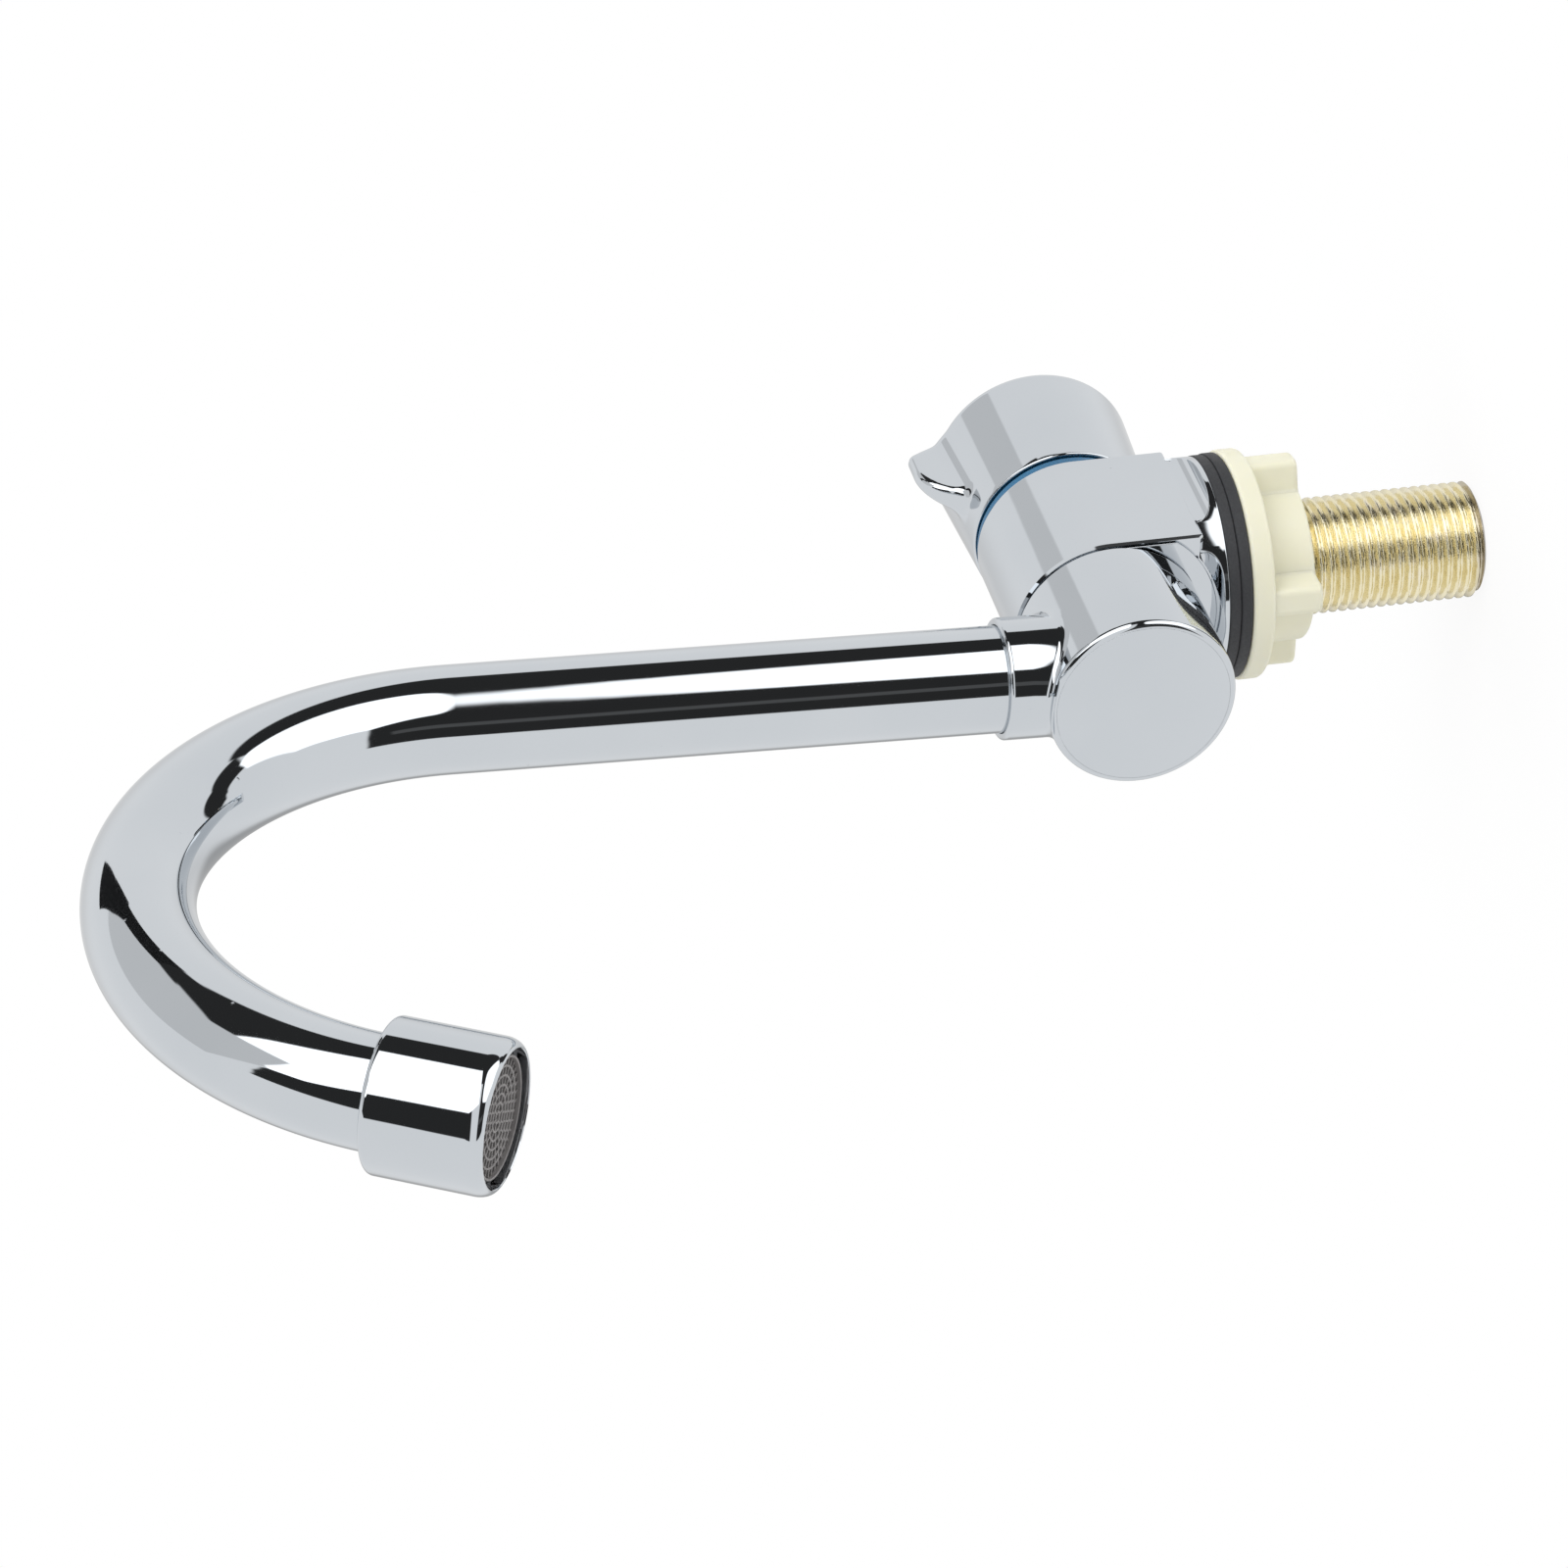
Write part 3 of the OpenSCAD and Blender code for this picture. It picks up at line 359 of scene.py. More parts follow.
# body casting: a barrel with straight sides, a machined pad in front, and a cove that runs out to a flange
def makeBody():
    size = {"side": 16.8, "foot": 8.5, "back": -13.4, "front": 14.8, "padFront": 15.2, "padRadius": 19.9,
            "edge": 0.4, "chamfer": 0.5, "chamferDepth": 0.28, "groove": 0.3, "grooveDepth": 0.5,
            "footEdge": 0.5, "padEdge": 0.16, "pocket": 11, "pocketFloor": -4, "bore": 8.43,
            "boreFloor": 7.2, "base": 4.2, "lip": 5.2, "coveTop": 8.6, "sunk": 0.02, "wallTop": 9.2,
            "flange": 20, "rim": 0.14, "socket": 10.26, "baseEdge": 0.2, "hold": 0.06, "top": 96,
            "flank": 24, "under": 72, "corner": 9, "padSteps": 60, "coveRows": 18, "tuck": 0.6}
    axis = layout["axisHeight"]
    low = size["foot"]

    def outline(inset, pad=0):
        s = size["side"] - inset
        half = [(s * math.cos(a), axis + s * math.sin(a)) for a in np.linspace(0, math.pi, size["top"])]
        if pad:
            turn = axis - math.sqrt(pad * pad - s * s)
            arc = [(-pad * math.cos(a), axis - pad * math.sin(a))
                   for a in np.linspace(math.acos(s / pad), math.pi / 2, size["padSteps"])]
            path = np.array(arc + [(-y, z) for y, z in reversed(arc[:-1])])
            run = np.concatenate([[0], np.cumsum(np.linalg.norm(np.diff(path, axis=0), axis=1))])
            spots = np.linspace(0, run[-1], size["under"])
            under = list(zip(np.interp(spots, run, path[:, 0]), np.interp(spots, run, path[:, 1])))
        else:
            c = size["footEdge"]
            turn = low + inset + c
            arc = [(-s + c * (1 - math.cos(a)), turn - c * math.sin(a))
                   for a in np.linspace(0, math.pi / 2, size["corner"])]
            across = np.linspace(arc[-1][0], -arc[-1][0], size["under"] - 2 * size["corner"] + 2)[1:-1]
            under = arc + [(y, low + inset) for y in across] + [(-y, z) for y, z in reversed(arc)]
        drop = np.linspace(axis, turn, size["flank"] + 2)[1:-1]
        return half + [(-s, z) for z in drop] + under + [(s, z) for z in reversed(drop)]

    def hole(radius):
        upper = list(np.linspace(0, math.pi, size["top"]))
        lower = list(np.linspace(math.pi, 2 * math.pi, 2 * size["flank"] + size["under"] + 2)[1:-1])
        return [(radius * math.cos(a), axis + radius * math.sin(a)) for a in upper + lower]

    def ring(x, points):
        return [(x, y, z) for y, z in points]

    e, p, c, g = size["edge"], size["padEdge"], size["chamfer"], size["groove"]
    front, back, padFront, pad = size["front"], size["back"], size["padFront"], size["padRadius"]
    hold, grooveFloor = size["hold"], front - size["grooveDepth"]
    rings = [ring(size["pocketFloor"], hole(size["pocket"])), ring(back, hole(size["pocket"])),
             ring(back, outline(e + hold))]
    rings += [ring(back + e * (1 - math.cos(a)), outline(e * (1 - math.sin(a)))) for a in edgeSteps]
    rings += [ring(back + e + hold, outline(0)), ring(front - size["chamferDepth"], outline(0)),
              ring(front, outline(c)), ring(front, outline(c + hold, pad + g)),
              ring(grooveFloor, outline(c + hold, pad + g)), ring(grooveFloor, outline(c + hold + g, pad))]
    for a in reversed(edgeSteps):
        fall = p * (1 - math.sin(a))
        rings.append(ring(padFront - p * (1 - math.cos(a)), outline(c + hold + g + fall, pad - fall)))
    rings += [ring(padFront, outline(c + 2 * hold + g + p, pad - p - hold)),
              ring(padFront, hole(size["bore"])), ring(size["boreFloor"], hole(size["bore"]))]

    # the foot: from the block's four sides a cove falls to the lip, all cut to the flange's circle
    angles = np.radians(np.arange(0, 360, 1.0))
    cosine, sine = np.cos(angles), np.sin(angles)
    cove, full, rim = size["coveTop"] - size["lip"], size["flange"], size["rim"]
    sides = ((size["side"], sine), (size["side"], -sine), (front, cosine), (-back, -cosine))
    sides = [(reach - size["sunk"], way) for reach, way in sides]

    def beyond(radius):
        return np.max([radius * way - reach for reach, way in sides], axis=0)

    def topHeight(radius):
        # in front of the block the cutter that faced the pad has run through the cove
        out = np.clip(cove - beyond(radius), 0, cove)
        faced = axis - np.sqrt((pad + g) ** 2 - (radius * sine) ** 2)
        height = size["coveTop"] - np.sqrt(cove ** 2 - out ** 2)
        height = np.where(radius * cosine > front - 0.05, np.minimum(height, faced), height)
        return np.where(beyond(radius) < 0, size["wallTop"], height)

    meet = np.min([reach / np.maximum(way, 1e-6) for reach, way in sides], axis=0)
    start, tiny = np.minimum(meet, full - 3 * rim), 1e-4
    rows = [(size["socket"], size["base"]), (size["socket"], size["wallTop"]),
            (start - size["tuck"], size["wallTop"]), (start - tiny, topHeight(start - tiny))]
    for share in np.linspace(0, 1, size["coveRows"]):
        radius = start + tiny + (full - rim - start) * share
        rows.append((radius, topHeight(radius)))
    for a in edgeSteps[1:]:
        radius = full - rim * (1 - math.sin(a)) + tiny
        rows.append((radius, topHeight(radius) - rim * (1 - math.cos(a))))
    below = [(full, size["lip"] - 0.3, 0), (full, size["base"], size["baseEdge"]),
             (full - 1, size["base"], 0)]
    rows += rounded(below, closed=False)
    shells = [(*loft(rings), upright), (*polarSkin(rows, angles), upright)]
    settle(meshFrom("bodyCasting", shells, 24), chrome, "tap_body", "chrome_body", "body_casting")


# the two rubber rings under the flange, the blue ring, and the small turned covers
ringSizes = {
    "seatRing": {"inner": 10.78, "outer": 20.1, "low": 2.1, "high": 4.2, "edge": 0.35,
                 "place": upright, "look": (rubber, "tap_body", "black_rubber", "seat_ring")},
    "deckWasher": {"inner": 10.78, "outer": 20.3, "low": 0, "high": 2.1, "edge": 0.35,
                   "place": upright, "look": (rubber, "tap_body", "black_rubber", "deck_washer")},
    "coldRing": {"inner": 11.03, "outer": 16.4, "low": 13.43, "high": 15.2, "edge": 0.25,
                 "place": valveSide, "look": (blueAbs, "tap_body", "blue_plastic", "cold_ring")},
    "handleCap": {"inner": 0, "outer": 6.4, "low": 40.5, "high": 42.4, "edge": 0.22,
                  "place": valveSide, "look": (chrome, "handle", "chrome_handle", "handle_cap")},
    "endCap": {"inner": 0, "outer": 15.5, "low": 39.1, "high": 40, "edge": 0.03,
               "place": hubSide, "look": (chrome, "spout_hub", "chrome_body", "end_cap")},
}


def makeRing(name):
    s = ringSizes[name]
    spots = (("inner", "low"), ("outer", "low"), ("outer", "high"), ("inner", "high"))
    corners = [(s[across], s[level], s["edge"]) for across, level in spots]
    profile = rounded(corners, 5, closed=s["inner"] > 0)
    settle(meshFrom(name, [(*lathe(profile, 200), s["place"])]), *s["look"])


# handle: a flared shell, and a finger nib shaped like a beak that grows out of it in a small fillet
def makeHandle():
    size = {"near": 15.7, "end": 42.4, "nearRadius": 16.9, "farRadius": 18.2, "round": 2.2,
            "nearEdge": 0.35, "hollow": 14.3, "floor": 37.8, "boss": 6.8, "bossStart": 25.8, "drive": 4.06,
            "driveEnd": 36, "capHole": 6.45, "capEdge": 0.2, "capFloor": 40.5, "nibRoot": 2.72,
            "nibTip": 1.35, "nibEdge": 1.1, "nibTurn": 13, "nibInner": 15.6, "nibOuter": 25, "blend": 2.6,
            "raysFrom": 8.0, "raysReach": 24.0, "fineBand": (20.4, 26.4), "fan": (13, 37.4),
            "endRows": (12.2, 11, 9, 7.4)}
    # the beak seen from the side, stretched round four discs: (radius, height, size)
    beak = [(15.6, 22.4, 0), (17, 31.4, 8), (23.8, 35.7, 1.2), (16, 42.2, 0)]
    rise = size["end"] - size["round"] - size["near"]
    lengthOfSide = math.hypot(rise, size["farRadius"] - size["nearRadius"])
    across, along = rise / lengthOfSide, (size["farRadius"] - size["nearRadius"]) / lengthOfSide

    def meet(a, b, r):
        return np.minimum(np.maximum(a, b), -r) + np.hypot(np.maximum(a + r, 0), np.maximum(b + r, 0))

    def distance(x, y, z):
        side = (np.hypot(x, y) - size["nearRadius"]) * across - (z - size["near"]) * along
        shell = meet(side, z - size["end"], size["round"])
        t = math.radians(size["nibTurn"])
        u, v = x * math.cos(t) + y * math.sin(t), y * math.cos(t) - x * math.sin(t)
        fin = size["nibInner"] - u
        for a in np.radians(np.arange(-100, 101, 2.5)):
            reach = max(bu * math.cos(a) + bz * math.sin(a) + disc for bu, bz, disc in beak)
            fin = np.maximum(fin, u * math.cos(a) + z * math.sin(a) - reach)
        share = np.clip((u - size["nibInner"]) / (size["nibOuter"] - size["nibInner"]), 0, 1)
        half = size["nibRoot"] + (size["nibTip"] - size["nibRoot"]) * share
        nib = meet(fin, np.abs(v) - half, size["nibEdge"])
        h = np.clip(0.5 + 0.5 * (nib - shell) / size["blend"], 0, 1)
        return np.maximum(nib + (shell - nib) * h - size["blend"] * h * (1 - h), z - size["end"])

    fine = size["nibTurn"] + np.arange(-30, 30.01, 0.5)
    coarse = size["nibTurn"] + np.arange(33, 328, 3.0)
    angles = np.radians(np.concatenate([fine, coarse]))
    fanX, fanZ = size["fan"]
    marks = (size["near"] + 0.6, *size["fineBand"], fanZ)
    sideZ = np.concatenate([np.linspace(a, b, count, endpoint=False)
                            for a, b, count in zip(marks, marks[1:], (6, 44, 26))])
    rays = [(size["raysFrom"], z, 0.0) for z in sideZ] + [(fanX, fanZ, a) for a in np.linspace(0, 90, 72)]
    rays += [(r, fanZ, 90.0) for r in size["endRows"]]
    start = np.array([r[:2] for r in rays])
    aim = np.radians([r[2] for r in rays])
    low = np.zeros((len(rays), len(angles)))
    high = low + size["raysReach"]

    def onRays(reach):
        return start[:, :1] + reach * np.cos(aim)[:, None], start[:, 1:] + reach * np.sin(aim)[:, None]

    # each ray is halved until it ends on the skin
    for halving in range(36):
        reach = (low + high) / 2
        radius, height = onRays(reach)
        inside = distance(radius * np.cos(angles), radius * np.sin(angles), height) < 0
        low, high = np.where(inside, reach, low), np.where(inside, high, reach)
    n, e = size["near"], size["nearEdge"]
    rows = [(0, size["driveEnd"]), (size["drive"], size["driveEnd"]), (size["drive"], size["bossStart"]),
            (size["boss"], size["bossStart"]), (size["boss"], size["floor"]),
            (size["hollow"], size["floor"]), (size["hollow"], n), (size["nearRadius"] - e - 0.1, n)]
    rows += [(size["nearRadius"] - e + e * math.sin(a), n + e - e * math.cos(a))
             for a in np.radians((0, 20, 40, 60, 80, 90))]
    rows += list(zip(*onRays((low + high) / 2)))
    rows += [(size["capHole"] + size["capEdge"] + 0.1, size["end"]),
             (size["capHole"] + size["capEdge"], size["end"]),
             (size["capHole"], size["end"] - size["capEdge"]), (size["capHole"], size["capFloor"]),
             (0, size["capFloor"])]
    mesh = meshFrom("handleShell", [(*polarSkin(rows, angles), valveSide)], 40)
    settle(mesh, chrome, "handle", "chrome_handle", "handle_shell")


# spout drum: a turned barrel with a rounded outer edge, and the collar that holds the spout
def makeHub():
    size = {"root": 15.8, "end": 40, "radius": 16.7, "round": 1.15, "lip": 15.52, "seat": 39.1,
            "pocket": 11, "step": 35, "bore": 7.55, "edge": 0.3, "collar": 10.7, "collarEnd": 23.7,
            "collarRound": 0.7, "mouth": 9.45, "mouthEdge": 0.4, "collarFloor": 13.2, "collarRoot": 6,
            "fillet": 1.1}
    drum = [(size["bore"], size["root"], 0.1), (size["radius"], size["root"], size["edge"]),
            (size["radius"], size["end"], size["round"]), (size["lip"], size["end"], 0),
            (size["lip"], size["seat"], 0), (size["pocket"], size["seat"], 0),
            (size["pocket"], size["step"], 0), (size["bore"], size["step"], 0)]
    turnedDrum = lathe(rounded(drum, 10, 0.02, share=0.97), 240)
    angles = np.radians(np.arange(0, 360, 1.5))

    def drumTop(radius):
        return np.sqrt(size["radius"] ** 2 - (radius * np.sin(angles)) ** 2)

    # the collar grows out of the drum in a small fillet
    c, f = size["collar"], size["fillet"]
    rows = [(0, size["collarRoot"]), (c, size["collarRoot"]), (c, drumTop(c) - 0.6),
            (c + f, drumTop(c + f) - 0.3)]
    rows += [(c + f * (1 - math.sin(a)), drumTop(c + f * (1 - math.sin(a))) + f * (1 - math.cos(a)))
             for a in np.radians(np.linspace(0, 90, 9))]
    mouth = [(c, size["collarEnd"] - 4, 0), (c, size["collarEnd"], size["collarRound"]),
             (size["mouth"], size["collarEnd"], size["mouthEdge"]), (size["mouth"], size["collarFloor"], 0),
             (0, size["collarFloor"], 0)]
    rows += rounded(mouth, closed=False, share=0.6)
    mesh = meshFrom("spoutHub", [(*turnedDrum, hubSide), (*polarSkin(rows, angles), collarSide)], 24)
    settle(mesh, chrome, "spout_hub", "chrome_body", "spout_hub")


# spout: one drawn tube, straight and then bent to a hook
def makeSpout():
    size = {"tubeRadius": 9.4, "wall": 1.0, "foot": 21.5, "sides": 128, "straightSteps": 12, "steps": 110}
    sizes = {key: size[key] for key in ("tubeRadius", "sides")}
    tree, inputs = startTree("bentTube", sizes)
    path = addNode(tree, "GeometryNodeMeshToCurve", {"Mesh": inputs["Geometry"]})
    loop = addNode(tree, "GeometryNodeCurvePrimitiveCircle",
                   {"Resolution": inputs["sides"], "Radius": inputs["tubeRadius"]})
    skin = addNode(tree, "GeometryNodeCurveToMesh", {"Curve": path, "Profile Curve": loop})
    endTree(tree, inputs, skin)
    r, start = layout["bendRadius"], layout["bendStart"]
    points = [(0, 0, z) for z in np.linspace(size["foot"], start, size["straightSteps"], endpoint=False)]
    points += [(r - r * math.cos(a), 0, start + r * math.sin(a))
               for a in np.linspace(0, math.radians(layout["bendAngle"]), size["steps"])]
    line = bpy.data.meshes.new("spoutPath")
    line.from_pydata(points, [(i, i + 1) for i in range(len(points) - 1)], [])
    mesh = growMesh("spoutTube", line, tree, sizes, chrome, swivelSide, 40, wall=size["wall"])
    settle(mesh, chrome, "spout", "chrome_spout", "spout_tube")


# aerator shell: a turned sleeve with rounded edges and a lip round its mouth
def makeAeratorShell():
    size = {"radius": 12.6, "length": 20.1, "back": 1.1, "front": 1.4, "frontLength": 2.6, "neck": 9.7,
            "bore": 11.4, "wall": 1.2, "lipFoot": 18.6, "mouth": 11.1, "lipEdge": 0.12}
    profile = [(size["neck"], 0, 0.2), (size["radius"], 0, size["back"])]
    # the front edge falls in to the mouth along a quarter of an ellipse
    for a in np.radians(np.linspace(0, 90, 13)):
        profile.append((size["radius"] - size["front"] * (1 - math.cos(a)),
                        size["length"] - size["frontLength"] * (1 - math.sin(a)), 0))
    profile += [(size["mouth"], size["length"] - size["lipEdge"], 0), (size["mouth"], size["lipFoot"], 0),
                (size["bore"], size["lipFoot"], 0), (size["bore"], size["wall"], 0),
                (size["neck"], size["wall"], 0)]
    mesh = meshFrom("aeratorShell", [(*lathe(rounded(profile, 8), 240), outletSide)], 28)
    settle(mesh, chrome, "spout", "chrome_spout", "aerator_shell")


# aerator insert: a moulded cup whose mouth is a lattice of rings and staggered bars
def makeAeratorInsert():
    size = {"outer": 11.37, "wall": 1.0, "foot": 9.03, "mouth": 17.6, "rim": 19.2, "gridFoot": 17.5,
            "barWidth": 0.34, "barDepth": 1.1, "ringHalf": 0.2, "ringEdge": 0.12, "ringProud": 0.08}
    rings = (0.9, 2.3, 3.7, 5.1, 6.6, 8.1, 9.7)
    counts = (6, 12, 18, 24, 30, 36)
    sizes = {key: size[key] for key in ("barWidth", "barDepth", "gridFoot")}
    tree, inputs = startTree("outletLattice", sizes)
    index = addNode(tree, "GeometryNodeInputIndex")
    height = addNode(tree, "ShaderNodeMath", {0: inputs["barDepth"], 1: 0.5, 2: inputs["gridFoot"]},
                     operation="MULTIPLY_ADD")
    made = [inputs["Geometry"]]
    for k, count in enumerate(counts):
        middle, gap = (rings[k] + rings[k + 1]) / 2, rings[k + 1] - rings[k]
        angle = addNode(tree, "ShaderNodeMath",
                        {0: index, 1: 2 * math.pi / count, 2: (k % 2) * math.pi / count},
                        operation="MULTIPLY_ADD")
        aside = addNode(tree, "ShaderNodeMath", {0: angle}, operation="COSINE")
        ahead = addNode(tree, "ShaderNodeMath", {0: angle}, operation="SINE")
        x = addNode(tree, "ShaderNodeMath", {0: aside, 1: middle}, operation="MULTIPLY")
        y = addNode(tree, "ShaderNodeMath", {0: ahead, 1: middle}, operation="MULTIPLY")
        spot = addNode(tree, "ShaderNodeCombineXYZ", {"X": x, "Y": y, "Z": height})
        points = addNode(tree, "GeometryNodePoints", {"Count": count, "Position": spot})
        block = addNode(tree, "ShaderNodeCombineXYZ",
                        {"X": gap, "Y": inputs["barWidth"], "Z": inputs["barDepth"]})
        bar = addNode(tree, "GeometryNodeMeshCube", {"Size": block})
        heading = addNode(tree, "ShaderNodeCombineXYZ", {"Z": angle})
        made.append(addNode(tree, "GeometryNodeInstanceOnPoints",
                            {"Points": points, "Instance": bar, "Rotation": heading}))
    endTree(tree, inputs, made)
    inner = size["outer"] - size["wall"]
    cup = [(inner, size["foot"], 0), (size["outer"], size["foot"], 0), (size["outer"], size["mouth"], 0.25),
           (inner, size["mouth"], 0.25)]
    shells = [(*lathe(rounded(cup, 4), 120), inMillimetres)]
    half, foot, edge = size["ringHalf"], size["gridFoot"], size["ringEdge"]
    for r in rings:
        top = size["rim"] if r == rings[-1] else foot + size["barDepth"] + size["ringProud"]
        band = [(r - half, foot, 0), (r + half, foot, 0), (r + half, top, edge), (r - half, top, edge)]
        shells.append((*lathe(rounded(band, 3), 96), inMillimetres))
    base = meshFrom("outletCup", shells)
    mesh = growMesh("aeratorInsert", base, tree, sizes, greyAcetal, outletSide, 32, False)
    settle(mesh, greyAcetal, "spout", "grey_plastic", "aerator_insert")


# wire screen: two layers of straight wires across the outlet
def makeScreen():
    sizes = {"radius": 10.3, "pitch": 0.9, "wire": 0.16, "height": 13.2}
    sizes["count"] = int(2 * sizes["radius"] / sizes["pitch"]) - 1
    tree, inputs = startTree("wireScreen", sizes)
    index = addNode(tree, "GeometryNodeInputIndex")
    last = addNode(tree, "ShaderNodeMath", {0: inputs["count"], 1: 1.0}, operation="SUBTRACT")
    middle = addNode(tree, "ShaderNodeMath", {0: last, 1: 0.5}, operation="MULTIPLY")
    step = addNode(tree, "ShaderNodeMath", {0: index, 1: middle}, operation="SUBTRACT")
    offset = addNode(tree, "ShaderNodeMath", {0: step, 1: inputs["pitch"]}, operation="MULTIPLY")
    square = addNode(tree, "ShaderNodeMath", {0: offset, 1: offset}, operation="MULTIPLY")
    whole = addNode(tree, "ShaderNodeMath", {0: inputs["radius"], 1: inputs["radius"]},
                    operation="MULTIPLY")
    rest = addNode(tree, "ShaderNodeMath", {0: whole, 1: square}, operation="SUBTRACT")
    half = addNode(tree, "ShaderNodeMath", {0: rest}, operation="SQRT")
    reach = addNode(tree, "ShaderNodeCombineXYZ", {"X": 1.0, "Y": 1.0, "Z": half})
    wire = addNode(tree, "GeometryNodeMeshCylinder",
                   {"Vertices": 6, "Radius": inputs["wire"], "Depth": 2.0})
    above = addNode(tree, "ShaderNodeMath", {0: inputs["height"], 1: inputs["wire"]}, operation="ADD")
    below = addNode(tree, "ShaderNodeMath", {0: inputs["height"], 1: inputs["wire"]}, operation="SUBTRACT")
    made = [inputs["Geometry"]]
    for level, spread, lie in ((above, "X", (math.pi / 2, 0, 0)), (below, "Y", (0, math.pi / 2, 0))):
        spot = addNode(tree, "ShaderNodeCombineXYZ", {spread: offset, "Z": level})
        points = addNode(tree, "GeometryNodePoints", {"Count": inputs["count"], "Position": spot})
        made.append(addNode(tree, "GeometryNodeInstanceOnPoints",
                            {"Points": points, "Instance": wire, "Rotation": lie, "Scale": reach}))
    endTree(tree, inputs, made)
    base = bpy.data.meshes.new("noWires")
    mesh = growMesh("aeratorScreen", base, tree, sizes, wireSteel, outletSide, 50, False)
    settle(mesh, wireSteel, "spout", "steel_mesh", "aerator_screen")


# inlet shank: a right-handed pipe thread wound round a bored stud, chamfered at its foot
def makeShank():
    sizes = {"crest": 10.4775, "depth": 1.162, "pitch": 1.814, "flat": 0.2, "foot": -46.3, "top": 11.0,
             "runOut": 0.25, "runOutFrom": -14.9, "chamfer": 1.6, "columns": 97, "rows": 420}
    bore, boreEdge = 5.0, 0.3
    tree, inputs = startTree("pipeThread", sizes)
    sheet = addNode(tree, "GeometryNodeMeshGrid",
                    {"Size X": 1.0, "Size Y": 1.0, "Vertices X": inputs["columns"],
                     "Vertices Y": inputs["rows"]})
    parts = addNode(tree, "ShaderNodeSeparateXYZ", {"Vector": addNode(tree, "GeometryNodeInputPosition")})
    known = {key: inputs[key] for key in sizes}
    known.update({"x": parts.outputs["X"], "y": parts.outputs["Y"]})
    # each step is a result, an operation and its terms
    steps = (
        ("u", "ADD", "x", 0.5), ("v", "ADD", "y", 0.5), ("angle", "MULTIPLY", "u", 2 * math.pi),
        ("length", "SUBTRACT", "top", "foot"), ("rise", "MULTIPLY", "v", "length"),
        ("z", "ADD", "rise", "foot"), ("wound", "DIVIDE", "z", "pitch"),
        ("phase", "SUBTRACT", "wound", "u"), ("saw", "FRACT", "phase"),
        ("shifted", "MULTIPLY_ADD", "saw", 2.0, -1.0), ("ridge", "ABSOLUTE", "shifted"),
        ("lowered", "SUBTRACT", "ridge", "flat"), ("span", "MULTIPLY_ADD", "flat", -2.0, 1.0),
        ("share", "DIVIDE", "lowered", "span"), ("capped", "MINIMUM", "share", 1.0),
        ("groove", "MAXIMUM", "capped", 0.0), ("cut", "MULTIPLY", "groove", "depth"),
        ("over", "GREATER_THAN", "z", "runOutFrom"), ("less", "MULTIPLY", "over", "runOut"),
        ("full", "SUBTRACT", "crest", "less"), ("threaded", "SUBTRACT", "full", "cut"),
        ("end", "SUBTRACT", "crest", "chamfer"), ("cone", "MULTIPLY_ADD", "rise", 2.0, "end"),
        ("bevelled", "MINIMUM", "threaded", "cone"), ("root", "SUBTRACT", "crest", "depth"),
        ("toTop", "SUBTRACT", "top", "z"), ("head", "MULTIPLY_ADD", "toTop", 2.0, "root"),
        ("radius", "MINIMUM", "bevelled", "head"), ("cosine", "COSINE", "angle"), ("sine", "SINE", "angle"),
        ("px", "MULTIPLY", "radius", "cosine"), ("py", "MULTIPLY", "radius", "sine"),
    )
    for result, operation, *terms in steps:
        fill = {i: known.get(term, term) for i, term in enumerate(terms)}
        known[result] = addNode(tree, "ShaderNodeMath", fill, operation=operation)
    spot = addNode(tree, "ShaderNodeCombineXYZ", {"X": known["px"], "Y": known["py"], "Z": known["z"]})
    wound = addNode(tree, "GeometryNodeSetPosition", {"Geometry": sheet, "Position": spot})
    joined = addNode(tree, "GeometryNodeJoinGeometry", {"Geometry": [inputs["Geometry"], wound]})
    closed = addNode(tree, "GeometryNodeMergeByDistance", {"Geometry": joined, "Distance": 0.0005})
    endTree(tree, inputs, closed)
    low, high = sizes["crest"] - sizes["chamfer"], sizes["crest"] - sizes["depth"]
    around = sizes["columns"] - 1
    # the sheet's first column lies at angle 0, so the ends use the same angles
    profile = [(low, sizes["foot"]), (bore + boreEdge, sizes["foot"]), (bore, sizes["foot"] + boreEdge),
               (bore, sizes["top"]), (high, sizes["top"])]
    vertices, faces = lathe(profile, around)
    faces = faces[:around * (len(profile) - 1)]
    base = meshFrom("shankBore", [(vertices, faces, inMillimetres)])
    mesh = growMesh("inletShank", base, tree, sizes, zinc, upright, 55)
    settle(mesh, zinc, "tap_body", "zinc_brass", "inlet_shank")


